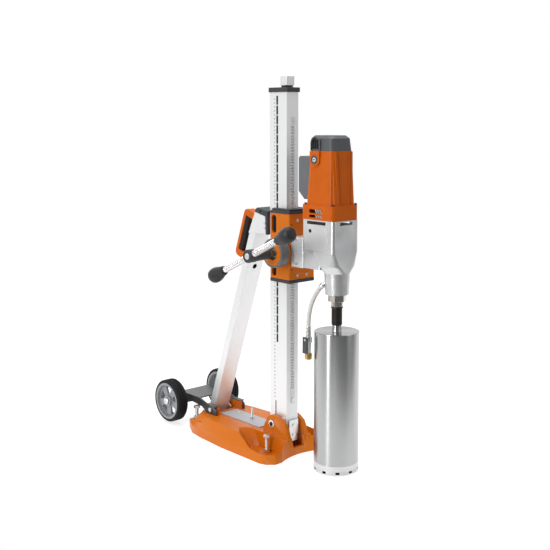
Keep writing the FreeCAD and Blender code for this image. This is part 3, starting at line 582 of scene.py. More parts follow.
def drawn_finish(name, colour, roughness, stretch, metallic=1.0, anisotropic=0.0, contrast=0.10, turn=0.0,
                 stain=0.09):
    """Drawn, turned or brushed metal: hairlines stretched along one direction, with faint stains."""
    material = bpy.data.materials.new(name)
    material.use_nodes = True
    nodes, links = material.node_tree.nodes, material.node_tree.links
    nodes.clear()

    place = nodes.new("ShaderNodeTexCoord")
    place.label = "Place on the rig"

    line_frame = nodes.new("NodeFrame")
    line_frame.label = "Hairlines"
    direction = nodes.new("ShaderNodeMapping")
    direction.label = "Stretched along the drawing direction"
    direction.inputs["Scale"].default_value = stretch
    lines = nodes.new("ShaderNodeTexNoise")
    lines.label = "Hairlines of the die or belt"
    lines.inputs["Scale"].default_value = 1
    lines.inputs["Detail"].default_value = 5
    tone = nodes.new("ShaderNodeMix")
    tone.label = "Line to line"
    tone.data_type = "RGBA"
    tone.inputs["A"].default_value = (*[c * (1 - contrast) for c in colour], 1)
    tone.inputs["B"].default_value = (*[min(1, c * (1 + contrast)) for c in colour], 1)

    stain_frame = nodes.new("NodeFrame")
    stain_frame.label = "Stains"
    stains = nodes.new("ShaderNodeTexNoise")
    stains.label = "Handling and water stains"
    stains.inputs["Scale"].default_value = 17
    stains.inputs["Detail"].default_value = 7
    stains.inputs["Roughness"].default_value = 0.6
    gloss = nodes.new("ShaderNodeMapRange")
    gloss.label = "Roughness of the metal"
    gloss.inputs["To Min"].default_value = roughness - stain * 0.7
    gloss.inputs["To Max"].default_value = roughness + stain * 1.3

    relief_frame = nodes.new("NodeFrame")
    relief_frame.label = "Relief"
    relief = nodes.new("ShaderNodeBump")
    relief.label = "Depth of the hairlines"
    relief.inputs["Strength"].default_value = 0.05
    relief.inputs["Distance"].default_value = 0.0002

    shader = nodes.new("ShaderNodeBsdfPrincipled")
    shader.label = "Drawn metal"
    shader.inputs["Metallic"].default_value = metallic
    shader.inputs["Anisotropic"].default_value = anisotropic
    shader.inputs["Anisotropic Rotation"].default_value = turn
    surface = nodes.new("ShaderNodeOutputMaterial")
    surface.label = "Metal surface"

    for node, group in ((direction, line_frame), (lines, line_frame), (tone, line_frame),
                        (stains, stain_frame),
                        (gloss, stain_frame), (relief, relief_frame)):
        node.parent = group
    laid_out((place, direction, lines, tone, stains, gloss, relief, shader, surface),
             ((-1100, 0), (-860, 200), (-640, 200), (-400, 200), (-640, -100), (-400, -100), (-400, -360),
              (0, 0), (320, 0)))

    links.new(place.outputs["Object"], direction.inputs["Vector"])
    links.new(direction.outputs["Vector"], lines.inputs["Vector"])
    links.new(lines.outputs["Fac"], tone.inputs["Factor"])
    links.new(tone.outputs["Result"], shader.inputs["Base Color"])
    links.new(place.outputs["Object"], stains.inputs["Vector"])
    links.new(stains.outputs["Fac"], gloss.inputs["Value"])
    links.new(gloss.outputs["Result"], shader.inputs["Roughness"])
    links.new(lines.outputs["Fac"], relief.inputs["Height"])
    links.new(relief.outputs["Normal"], shader.inputs["Normal"])
    links.new(shader.outputs["BSDF"], surface.inputs["Surface"])
    return material


def rubber_finish(name, colour, ribs, depth):
    """Black rubber: fine bloom and dust, with moulded ribs where the piece is gripped."""
    material = bpy.data.materials.new(name)
    material.use_nodes = True
    nodes, links = material.node_tree.nodes, material.node_tree.links
    nodes.clear()

    place = nodes.new("ShaderNodeTexCoord")
    place.label = "Place on the rig"

    dust_frame = nodes.new("NodeFrame")
    dust_frame.label = "Bloom and dust"
    dust = nodes.new("ShaderNodeTexNoise")
    dust.label = "Dust in the skin"
    dust.inputs["Scale"].default_value = 70
    dust.inputs["Detail"].default_value = 8
    bloom = nodes.new("ShaderNodeMix")
    bloom.label = "Black to bloomed"
    bloom.data_type = "RGBA"
    bloom.inputs["A"].default_value = (*colour, 1)
    bloom.inputs["B"].default_value = (*[c * 1.6 + 0.003 for c in colour], 1)
    gloss = nodes.new("ShaderNodeMapRange")
    gloss.label = "Roughness of the rubber"
    gloss.inputs["To Min"].default_value = 0.50
    gloss.inputs["To Max"].default_value = 0.78

    rib_frame = nodes.new("NodeFrame")
    rib_frame.label = "Ribs and skin"
    bands = nodes.new("ShaderNodeTexWave")
    bands.label = "Moulded ribs"
    bands.bands_direction = "Z"
    bands.inputs["Scale"].default_value = ribs
    skin = nodes.new("ShaderNodeTexNoise")
    skin.label = "Fine skin"
    skin.inputs["Scale"].default_value = 800
    both = nodes.new("ShaderNodeMath")
    both.label = "Ribs with skin"
    both.operation = "MULTIPLY_ADD"
    both.inputs[1].default_value = 0.2
    relief = nodes.new("ShaderNodeBump")
    relief.label = "Depth of the ribs"
    relief.inputs["Strength"].default_value = depth
    relief.inputs["Distance"].default_value = 0.001

    shader = nodes.new("ShaderNodeBsdfPrincipled")
    shader.label = "Rubber"
    shader.inputs["Specular IOR Level"].default_value = 0.20
    surface = nodes.new("ShaderNodeOutputMaterial")
    surface.label = "Rubber surface"

    for node, group in ((dust, dust_frame), (bloom, dust_frame), (gloss, dust_frame), (bands, rib_frame),
                        (skin, rib_frame), (both, rib_frame), (relief, rib_frame)):
        node.parent = group
    laid_out((place, dust, bloom, gloss, bands, skin, both, relief, shader, surface),
             ((-1100, 0), (-800, 200), (-560, 240), (-560, 0), (-800, -200), (-800, -440), (-560, -300),
              (-340, -300), (60, 0), (380, 0)))

    links.new(place.outputs["Object"], dust.inputs["Vector"])
    links.new(dust.outputs["Fac"], bloom.inputs["Factor"])
    links.new(bloom.outputs["Result"], shader.inputs["Base Color"])
    links.new(dust.outputs["Fac"], gloss.inputs["Value"])
    links.new(gloss.outputs["Result"], shader.inputs["Roughness"])
    links.new(place.outputs["Object"], bands.inputs["Vector"])
    links.new(place.outputs["Object"], skin.inputs["Vector"])
    links.new(skin.outputs["Fac"], both.inputs[0])
    links.new(bands.outputs["Fac"], both.inputs[2])
    links.new(both.outputs["Value"], relief.inputs["Height"])
    links.new(relief.outputs["Normal"], shader.inputs["Normal"])
    links.new(shader.outputs["BSDF"], surface.inputs["Surface"])
    return material


def hose_finish(name):
    """Milky clear hose: soft light through the wall, slight clouding and a satin skin."""
    material = bpy.data.materials.new(name)
    material.use_nodes = True
    nodes, links = material.node_tree.nodes, material.node_tree.links
    nodes.clear()

    place = nodes.new("ShaderNodeTexCoord")
    place.label = "Place on the rig"

    wall_frame = nodes.new("NodeFrame")
    wall_frame.label = "Milky wall"
    cloud = nodes.new("ShaderNodeTexNoise")
    cloud.label = "Clouding in the wall"
    cloud.inputs["Scale"].default_value = 60
    cloud.inputs["Detail"].default_value = 3
    milk = nodes.new("ShaderNodeMix")
    milk.label = "Clear to milky"
    milk.data_type = "RGBA"
    milk.inputs["A"].default_value = (0.66, 0.66, 0.62, 1)
    milk.inputs["B"].default_value = (0.80, 0.80, 0.77, 1)
    gloss = nodes.new("ShaderNodeMapRange")
    gloss.label = "Roughness of the skin"
    gloss.inputs["To Min"].default_value = 0.24
    gloss.inputs["To Max"].default_value = 0.40

    shader = nodes.new("ShaderNodeBsdfPrincipled")
    shader.label = "Hose wall"
    shader.inputs["Subsurface Weight"].default_value = 0.35
    shader.inputs["Subsurface Scale"].default_value = 0.01
    shader.inputs["IOR"].default_value = 1.38
    surface = nodes.new("ShaderNodeOutputMaterial")
    surface.label = "Hose surface"

    for node, group in ((cloud, wall_frame), (milk, wall_frame), (gloss, wall_frame)):
        node.parent = group
    laid_out((place, cloud, milk, gloss, shader, surface),
             ((-900, 0), (-660, 100), (-420, 180), (-420, -80), (0, 0), (320, 0)))

    links.new(place.outputs["Object"], cloud.inputs["Vector"])
    links.new(cloud.outputs["Fac"], milk.inputs["Factor"])
    links.new(milk.outputs["Result"], shader.inputs["Base Color"])
    links.new(cloud.outputs["Fac"], gloss.inputs["Value"])
    links.new(gloss.outputs["Result"], shader.inputs["Roughness"])
    links.new(shader.outputs["BSDF"], surface.inputs["Surface"])
    return material


FINISH = {}


class CORERIG_OT_finishes(Operator):
    """Make the finishes of the rig's paint, plastic, castings, bars and rubber"""

    bl_idname = "core_rig.finishes"
    bl_label = "Finishes"
    bl_options = {"REGISTER", "UNDO"}

    def execute(self, context):
        tone = context.scene.rig_colours
        up, across, level = (700, 700, 5), (6, 700, 700), (40, 40, 1400)
        FINISH["orange coat"] = coated_finish("orange powder coat", tone.orange_coat, 0.38, 0.10, 0.12)
        # The base's coat is the orange coat darkened to 0.86: painted shade that holds the skirt down against
        # the floor's light. Its lower roughness is its own gloss.
        FINISH["base coat"] = coated_finish("glossy base coat", [c * 0.86 for c in tone.orange_coat], 0.28,
                                            0.16, 0.10)
        FINISH["black coat"] = coated_finish("black powder coat", (0.022, 0.023, 0.025), 0.40, 0.3, 0.5)
        FINISH["orange plastic"] = moulded_finish("orange moulded plastic", tone.orange_plastic, 0.32, 1500,
                                                  0.08, 0.12)
        FINISH["dark plastic"] = moulded_finish("dark grained plastic", tone.dark_plastic, 0.50, 1100, 0.35)
        FINISH["cap plastic"] = moulded_finish("grey motor cap plastic",
                                               [c * 2.1 for c in tone.dark_plastic], 0.42, 1100, 0.30)
        FINISH["knob plastic"] = moulded_finish("black knob plastic", (0.028, 0.029, 0.031), 0.46, 1100, 0.30)
        FINISH["grey plastic"] = moulded_finish("grey switch box plastic", tone.grey_plastic, 0.48, 1200,
                                                0.25)
        FINISH["rim plastic"] = moulded_finish("light rim plastic", tone.rim_plastic, 0.42, 1600, 0.10)
        FINISH["print"] = moulded_finish("black scale print", (0.010, 0.010, 0.011), 0.55, 1500, 0.05)
        FINISH["pale print"] = moulded_finish("grey scale print", (0.50, 0.51, 0.52), 0.5, 1500, 0.05)
        FINISH["cast silver"] = cast_finish("blasted silver casting", tone.cast_silver, 0.34, 0.80)
        # Cast silver raised by 0.15 and made less metallic. The duller finish is the block's own paint; the
        # extra brightness is painted light on the mounting block, which the crank and drum shade. The jack
        # screw head shares it.
        FINISH["bright casting"] = cast_finish("less metallic casting painted lighter",
                                               [min(1, c * 1.15) for c in tone.cast_silver], 0.36, 0.45)
        FINISH["feed grey"] = cast_finish("dark coated feed casting", (0.10, 0.11, 0.12), 0.45, 0.4)
        FINISH["unlit bore"] = moulded_finish("unlit inside of the bit", (0.008, 0.008, 0.008), 0.75, 900,
                                              0.10, 0.03)
        FINISH["bare crown steel"] = drawn_finish("bare crown steel", (0.66, 0.66, 0.665), 0.34, level,
                                                  0.85, 0, 0.04)
        FINISH["brush cap"] = moulded_finish("grey brush cap plastic", (0.10, 0.104, 0.11), 0.40, 1400, 0.15)
        FINISH["extrusion"] = drawn_finish("pale anodised extrusion", tone.pale_extrusion, 0.38, up, 0.55,
                                           0, 0.05)
        FINISH["strut"] = drawn_finish("satin strut tube", tone.pale_extrusion, 0.34, (500, 60, 20), 0.60,
                                       0, 0.04)
        FINISH["rack"] = drawn_finish("milled rack steel", (0.70, 0.705, 0.71), 0.42, across, 0.8)
        FINISH["bit"] = drawn_finish("brushed bit tube", tone.bit_steel, 0.26, level, 1.0, 0.8, 0.06, 0.25,
                                     0.012)
        FINISH["zinc"] = drawn_finish("zinc-plated steel", (0.72, 0.73, 0.73), 0.28, (300, 300, 300), 1.0)
        FINISH["chrome"] = drawn_finish("bright ribbed steel", (0.80, 0.80, 0.80), 0.18, (300, 300, 300), 1.0)
        FINISH["dark steel"] = drawn_finish("blackened steel", (0.055, 0.050, 0.045), 0.34, level, 0.9, 0,
                                            0.25)
        FINISH["nut steel"] = drawn_finish("oiled spindle steel", (0.62, 0.59, 0.55), 0.14, level, 1.0, 0,
                                           0.20, 0, 0.03)
        FINISH["segment"] = cast_finish("sintered diamond segment", (0.60, 0.595, 0.58), 0.50, 0.85)
        FINISH["cover"] = drawn_finish("blasted cover plate", (0.46, 0.46, 0.48), 0.50, across, 0.05, 0, 0.05)
        FINISH["brass"] = drawn_finish("brass coupling", (0.62, 0.42, 0.15), 0.26, level, 1.0)
        FINISH["bronze"] = drawn_finish("bronze bush", (0.48, 0.28, 0.10), 0.35, across, 1.0)
        FINISH["winding"] = drawn_finish("laminated core and windings", (0.30, 0.17, 0.09), 0.45, level,
                                         0.7, 0, 0.3)
        FINISH["tyre"] = rubber_finish("tyre rubber", tone.black_rubber, 20, 0.1)
        FINISH["grip"] = rubber_finish("ribbed grip rubber", tone.black_rubber, 62, 0.6)
        FINISH["hose"] = hose_finish("milky hose")
        return {"FINISHED"}


# ---------------------------------------------------------------- stage

class CORERIG_OT_stage(Operator):
    """Lay the pale floor, hang the soft lights and set the camera"""

    bl_idname = "core_rig.stage"
    bl_label = "Stage, lights and camera"
    bl_options = {"REGISTER", "UNDO"}

    def execute(self, context):
        scene = context.scene
        camera = bpy.data.objects.new("Camera", bpy.data.cameras.new("Camera"))
        scene.collection.objects.link(camera)
        camera.data.lens = 62.02
        camera.data.sensor_width = 36
        camera.data.shift_x = -0.01636
        camera.data.shift_y = -0.05695
        camera.data.clip_end = 100
        camera.location = (-2.0620, -2.3046, 1.1094)
        camera.rotation_euler = (math.radians(82.45), 0, math.radians(-41.82))
        scene.camera = camera
        scene.view_settings.view_transform = "Standard"

        bpy.ops.object.select_all(action="DESELECT")
        bpy.ops.mesh.primitive_grid_add(x_subdivisions=8, y_subdivisions=8, size=4,
                                        location=(1.0, 1.05, -0.0006))
        floor = context.object
        floor.name = "studio_floor"
        bpy.ops.object.transform_apply(location=True, rotation=True, scale=True)
        floor.data.materials.append(self.floor_finish())

        self.soft_light("Key from the crank side", (-3.3, -0.35, 1.9), 1.0, 2.8, 54)
        self.soft_light("Fill from the drill side", (1.5, -3.6, 1.5), 1.6, 2.2, 20)
        self.soft_light("Overhead", (0.2, 0.2, 3.8), 2.6, 2.6, 62)
        self.soft_light("Back light", (1.2, 3.4, 2.0), 1.8, 1.8, 10)
        strip = self.soft_light("Highlight strip", (-3.2, -0.40, 1.2), 0.5, 2.6, 40)
        strip.visible_diffuse = False
        self.room(scene)
        return {"FINISHED"}

    def soft_light(self, name, place, wide, tall, power):
        """A soft box that looks at the middle of the rig."""
        lamp = bpy.data.lights.new(name, "AREA")
        lamp.shape = "RECTANGLE"
        lamp.size = wide
        lamp.size_y = tall
        lamp.energy = power
        box = bpy.data.objects.new(name, lamp)
        bpy.context.scene.collection.objects.link(box)
        box.location = place
        aim = Vector((0, 0, 0.55)) - Vector(place)
        box.rotation_euler = aim.to_track_quat("-Z", "Y").to_euler()
        return box

    def floor_finish(self):
        """White studio floor, a little uneven in gloss."""
        material = bpy.data.materials.new("white studio floor")
        material.use_nodes = True
        nodes, links = material.node_tree.nodes, material.node_tree.links
        nodes.clear()
        place = nodes.new("ShaderNodeTexCoord")
        place.label = "Place on the floor"
        mottle = nodes.new("ShaderNodeTexNoise")
        mottle.label = "Faint mottling of the paint"
        mottle.inputs["Scale"].default_value = 3
        gloss = nodes.new("ShaderNodeMapRange")
        gloss.label = "Roughness of the floor"
        gloss.inputs["To Min"].default_value = 0.85
        gloss.inputs["To Max"].default_value = 0.95
        shader = nodes.new("ShaderNodeBsdfPrincipled")
        shader.label = "White floor"
        shader.inputs["Base Color"].default_value = (0.40, 0.40, 0.40, 1)
        shader.inputs["Specular IOR Level"].default_value = 0.1
        shader.inputs["Emission Color"].default_value = (1, 1, 1, 1)
        shader.inputs["Emission Strength"].default_value = 0.74
        surface = nodes.new("ShaderNodeOutputMaterial")
        surface.label = "Floor surface"
        laid_out((place, mottle, gloss, shader, surface), ((-800, 0), (-580, 0), (-360, 0), (-100, 0),
                                                           (200, 0)))
        links.new(place.outputs["Object"], mottle.inputs["Vector"])
        links.new(mottle.outputs["Fac"], gloss.inputs["Value"])
        links.new(gloss.outputs["Result"], shader.inputs["Roughness"])
        links.new(shader.outputs["BSDF"], surface.inputs["Surface"])
        return material

    def room(self, scene):
        """A room that metal sees as dim in front and bright behind; a straight look at it is plain white."""
        world = bpy.data.worlds.new("White studio")
        scene.world = world
        world.use_nodes = True
        nodes, links = world.node_tree.nodes, world.node_tree.links
        nodes.clear()
        place = nodes.new("ShaderNodeTexCoord")
        place.label = "Direction in the room"
        toward = nodes.new("ShaderNodeVectorMath")
        toward.label = "How far it looks to the backdrop"
        toward.operation = "DOT_PRODUCT"
        toward.inputs[1].default_value = (0.34, 0.91, 0.24)
        reach = nodes.new("ShaderNodeMapRange")
        reach.label = "Dim room to backdrop"
        reach.interpolation_type = "SMOOTHSTEP"
        reach.inputs["From Min"].default_value = -0.80
        reach.inputs["From Max"].default_value = 0.60
        shade = nodes.new("ShaderNodeMix")
        shade.label = "Light of wall and backdrop"
        shade.data_type = "RGBA"
        shade.inputs["A"].default_value = (0.17, 0.17, 0.172, 1)
        shade.inputs["B"].default_value = (0.90, 0.90, 0.90, 1)
        seen = nodes.new("ShaderNodeLightPath")
        seen.label = "Straight look at the backdrop"
        plain = nodes.new("ShaderNodeMix")
        plain.label = "Plain white backdrop"
        plain.data_type = "RGBA"
        plain.inputs["B"].default_value = (1.0, 1.0, 1.0, 1)
        glow = nodes.new("ShaderNodeBackground")
        glow.label = "Light of the room"
        glow.inputs["Strength"].default_value = 1.0
        sky = nodes.new("ShaderNodeOutputWorld")
        sky.label = "Room"
        laid_out((place, toward, reach, shade, seen, plain, glow, sky),
                 ((-1000, 0), (-800, 0), (-600, 0), (-400, 0), (-400, 260), (-100, 60), (120, 60), (320, 60)))
        links.new(place.outputs["Generated"], toward.inputs[0])
        links.new(toward.outputs["Value"], reach.inputs["Value"])
        links.new(reach.outputs["Result"], shade.inputs["Factor"])
        links.new(shade.outputs["Result"], plain.inputs["A"])
        links.new(seen.outputs["Is Camera Ray"], plain.inputs["Factor"])
        links.new(plain.outputs["Result"], glow.inputs["Color"])
        links.new(glow.outputs["Background"], sky.inputs["Surface"])


# ---------------------------------------------------------------- water hose and tap

class CORERIG_OT_hose(Operator):
    """Run the milky hose from the gearbox nose to its tap, with its ferrule, lever and coupling"""

    bl_idname = "core_rig.hose"
    bl_label = "Water hose and tap"
    bl_options = {"REGISTER", "UNDO"}

    def execute(self, context):
        sizes = context.scene.rig_sizes
        line = bpy.data.curves.new("water_hose_line", "CURVE")
        line.dimensions = "3D"
        line.resolution_u = 24
        line.bevel_depth = sizes.hose_diameter / 2
        line.bevel_resolution = 8
        line.use_fill_caps = True
        run = line.splines.new("NURBS")
        run.points.add(len(HOSE_ROUTE) - 1)
        for point, place in zip(run.points, HOSE_ROUTE):
            point.co = (*place, 1)
        run.order_u = 3
        run.use_endpoint_u = True
        run.resolution_u = 24
        hose = bpy.data.objects.new("milky_water_hose", line)
        context.scene.collection.objects.link(hose)
        line.materials.append(FINISH["hose"])
        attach(hose, "carriage")
        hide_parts("water_hose")

        out = (HOSE_ROUTE[1] - HOSE_ROUTE[0]).normalized()
        stub = turned("hose_inlet_stub", [(-0.012, 0), (-0.012, 0.005), (-0.002, 0.005), (-0.002, 0.0088),
                                          (0.001, 0.0092),
                                          (0.0035, 0.0088), (0.009, 0.0082), (0.009, 0.0071), (0.003, 0.0071),
                                          (0.003, 0)], HOSE_ROUTE[0], out, 40)
        settle(stub, "carriage", FINISH["zinc"], ["valve_body"])

        rings = [(0.430, 0), (0.430, 0.0080)]
        for i in range(4):
            z = 0.4325 + 0.0072 * i
            rings += [(z, 0.0080), (z + 0.0012, 0.0088), (z + 0.0040, 0.0088), (z + 0.0052, 0.0080)]
        rings += [(0.4615, 0.0084), (0.4636, 0.0080), (0.464, 0.0072), (0.464, 0)]
        ferrule = turned("hose_ferrule", rings, VALVE, Z, 40)
        settle(ferrule, "carriage", FINISH["chrome"], ["valve_body"])

        tap = turned("tap_body", [(0.3781, 0), (0.3781, 0.0075), (0.380, 0.0080), (0.398, 0.0080),
                                  (0.400, 0.0090),
                                  (0.4115, 0.0090), (0.4125, 0.0108), (0.414, 0.0115), (0.427, 0.0115),
                                  (0.4295, 0.0105),
                                  (0.4298, 0)], VALVE, Z, 48)
        pin = turned("tap_stem", [(0.006, 0), (0.006, 0.0062), (0.0115, 0.0062), (0.0115, 0.0040),
                                  (0.015, 0.0040),
                                  (0.0155, 0.0034), (0.0155, 0)], VALVE + Z * 0.421, -X, 32)
        tap = joined("tap_body", [tap, pin])
        settle(tap, "carriage", FINISH["zinc"], ["valve_body"])

        collar = turned("brass_coupling", [(0.378, 0.0), (0.378, 0.0102), (0.377, 0.0110), (0.3745, 0.0110),
                                           (0.3745, 0.0102), (0.3635, 0.0102), (0.3635, 0.0110),
                                           (0.3590, 0.0110),
                                           (0.358, 0.0102), (0.358, 0.0062), (0.3595, 0.0060),
                                           (0.372, 0.0060),
                                           (0.372, 0)], VALVE, Z, 48)
        nut = hexagon("brass_hexagon", VALVE + Z * 0.369, 0.0208, 0.0100)
        coupling = joined("brass_coupling", [collar, nut])
        settle(coupling, "carriage", FINISH["brass"], ["valve_body"])

        lever = carried("valve_lever", "tap_lever", 0.0009, 3)
        settle(lever, "valve_lever", FINISH["black coat"], ["valve_lever"])
        return {"FINISHED"}


# ---------------------------------------------------------------- base and wheels

class CORERIG_OT_base(Operator):
    """Build the orange base casting with its cover plate, bolts, levelling screws and foot bracket"""

    bl_idname = "core_rig.base"
    bl_label = "Base"
    bl_options = {"REGISTER", "UNDO"}

    def execute(self, context):
        sizes = context.scene.rig_sizes
        casting = carried("base_casting", "base_casting_coated", sizes.casting_edge, 3)
        # The casting takes the darkened base coat, painted shade against the floor's light.
        settle(casting, "base", FINISH["base coat"], ["base_casting"])
        cover = carried("cover_plate", "anchor_cover_plate", 0.0006)
        settle(cover, "base", FINISH["cover"], ["cover_plate"])
        foot = carried("strut_foot_bracket", "strut_foot_cheeks", sizes.machined_edge)
        settle(foot, "base", FINISH["zinc"], ["strut_foot_bracket"])
        self.pivot()
        self.anchor()
        for corner in ("fl", "fr", "rl", "rr"):
            self.levelling_screw(corner)
        nuts = carried("lock_nuts", "levelling_lock_nuts", 0.0006)
        settle(nuts, "base", FINISH["zinc"], ["lock_nuts"])
        return {"FINISHED"}

    def pivot(self):
        """Blued pivot bolt between two bright washers."""
        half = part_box("pivot_pin")[1][0]
        centre = Vector((0, middle("pivot_pin").y, middle("pivot_pin").z))
        end = [(half - 0.0030, 0), (half - 0.0030, 0.0036), (half - 0.0004, 0.0040), (half, 0.0050),
               (half, 0.0068),
               (half - 0.0012, 0.0080)]
        bolt = turned("pivot_bolt", [(-z, r) for z, r in end] + end[::-1], centre, X)
        settle(bolt, "base", FINISH["dark steel"], ["pivot_pin"])
        washers = []
        for side in (1, -1):
            ring = [(0.0450, 0.0080), (0.0450, 0.0130), (0.0454, 0.0135), (0.0468, 0.0135), (0.0475, 0.0128),
                    (0.0475, 0.0080), (0.0450, 0.0080)]
            washers.append(turned("washer", ring, centre, X * side))
        settle(joined("pivot_washers", washers), "base", FINISH["chrome"], ["pivot_pin"])

    def anchor(self):
        """Anchor stud with its thread, washer and nut, and the small screw behind it."""
        low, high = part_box("anchor_stud")
        centre = Vector((0, 0.168, 0))
        rod = [(low[2], 0), (low[2], 0.0036), (0.0620, 0.0036)] + thread(0.0625, 0.1005, 0.0040, 0.0005,
                                                                         0.00125)
        stud = turned("anchor_stud_thread", rod + [(high[2], 0.0030), (high[2], 0)], centre, Z, 32)
        washer = turned("anchor_washer", [(0.0620, 0), (0.0620, 0.0080), (0.0632, 0.0080), (0.0635, 0.0076),
                                          (0.0635, 0)], centre, Z, 40)
        nut = hexagon("anchor_nut", centre + Z * 0.0670, 0.0130, 0.0070)
        screw = turned("cover_screw", [(0.0400, 0), (0.0400, 0.0025), (0.0620, 0.0025), (0.0620, 0.0050),
                                       (0.0632, 0.0048), (0.0640, 0.0036), (0.0640, 0.0018), (0.0628, 0.0015),
                                       (0.0628, 0)], (0.017, 0.262, 0), Z, 32)
        anchor = joined("anchor_stud_set", [stud, washer, nut, screw])
        settle(anchor, "base", FINISH["zinc"], ["anchor_stud"])

    def levelling_screw(self, corner):
        """Threaded screw with a flanged hexagon head and a rounded foot."""
        node = "levelling_screw_" + corner
        low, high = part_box(node)
        centre = Vector((middle(node).x, middle(node).y, 0))
        top = high[2]
        shank = [(low[2], 0), (low[2], 0.0038), (low[2] + 0.0024, 0.0056)]
        shank += thread(low[2] + 0.0028, top - 0.0125, 0.0060, 0.0007, 0.00175)
        shank += [(top - 0.0110, 0.0060), (top - 0.0110, 0.0078), (top - 0.0106, 0.0082),
                  (top - 0.0094, 0.0082),
                  (top - 0.0085, 0.0070), (top - 0.0085, 0)]
        screw = turned(node + "_shank", shank, centre, Z, 32)
        head = hexagon(node + "_head", centre + Z * (top - 0.0046), 0.0208, 0.0090)
        screw = joined(node + "_steel", [screw, head])
        settle(screw, "screw_" + corner, FINISH["zinc"], [node])


class CORERIG_OT_wheels(Operator):
    """Build the wheel bracket, axle, ribbed tyres and spoked rims"""

    bl_idname = "core_rig.wheels"
    bl_label = "Wheels"
    bl_options = {"REGISTER", "UNDO"}

    def execute(self, context):
        bracket = carried("wheel_bracket", "wheel_bracket_coated", 0.0010)
        settle(bracket, "base", FINISH["black coat"], ["wheel_bracket"])
        bolts = carried("bracket_bolts", "bracket_bolt_heads", 0.0007)
        settle(bolts, "base", FINISH["zinc"], ["bracket_bolts"])

        end_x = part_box("axle")[1][0]
        centre = Vector((0, WHEEL.y, WHEEL.z))
        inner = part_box("tyre_right")[0][0] - 0.0003
        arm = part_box("wheel_bracket")[1][0] + 0.0002
        end = [(end_x, 0), (end_x, 0.0030), (end_x - 0.0010, 0.0036), (end_x - 0.0010, 0.0060),
               (end_x, 0.0066),
               (end_x, 0.0106), (end_x - 0.0012, 0.0120), (end_x - 0.0070, 0.0120),
               (end_x - 0.0070, 0.0090),
               (inner, 0.0090), (inner, 0.0140), (arm, 0.0140), (arm, 0.0090)]
        axle = turned("axle_and_caps", [(-z, r) for z, r in end] + end[::-1], centre, X)
        settle(axle, "base", FINISH["zinc"], ["axle"])

        for side, name in ((-1, "left"), (1, "right")):
            rim = carried("rim_" + name, "rim_%s_moulded" % name, 0.0011, 3)
            settle(rim, "wheel_" + name, FINISH["rim plastic"], ["rim_" + name])
            tyre = self.tyre(context, side, name)
            settle(tyre, "wheel_" + name, FINISH["tyre"], ["tyre_" + name], 28)
        return {"FINISHED"}

    def tyre(self, context, side, name):
        """A crowned ring spun round the axle; every second tread block is sunk into a groove."""
        low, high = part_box("tyre_" + name)
        wide, radius = (high[0] - low[0]) / 2, (high[2] - low[2]) / 2
        blocks = context.scene.rig_sizes.tread_blocks
        section = [(-wide, 0.0672), (-wide, 0.0700), (-wide + 0.0015, 0.0738),
                   (-wide + 0.0050, radius - 0.0004),
                   (-wide + 0.0090, radius), (-0.0040, radius), (-0.0040, radius - 0.0018),
                   (0.0040, radius - 0.0018),
                   (0.0040, radius), (wide - 0.0090, radius), (wide - 0.0050, radius - 0.0004),
                   (wide - 0.0015, 0.0738), (wide, 0.0700), (wide, 0.0672), (wide - 0.0014, 0.0661),
                   (-wide + 0.0014, 0.0661), (-wide, 0.0672)]
        tyre = turned("tyre_%s_ribbed" % name, section, (0, 0, 0), Z, blocks * 2)
        lone(tyre)
        bpy.ops.object.mode_set(mode="EDIT")
        bpy.ops.mesh.select_mode(type="FACE")
        bpy.ops.mesh.select_all(action="DESELECT")
        bpy.ops.object.mode_set(mode="OBJECT")
        for face in tyre.data.polygons:
            out = math.hypot(face.center.x, face.center.y)
            step = int(round(math.atan2(face.center.y, face.center.x) / math.pi * blocks - 0.5))
            face.select = out > radius - 0.0016 and abs(face.center.z) > 0.0041 and step % 2 == 0
        bpy.ops.object.mode_set(mode="EDIT")
        bpy.ops.mesh.extrude_region_shrink_fatten(TRANSFORM_OT_shrink_fatten={"value": -0.0013})
        bpy.ops.mesh.select_mode(type="VERT")
        bpy.ops.object.mode_set(mode="OBJECT")
        return stand_at(tyre, middle("tyre_" + name), X * side)


# ---------------------------------------------------------------- column and strut

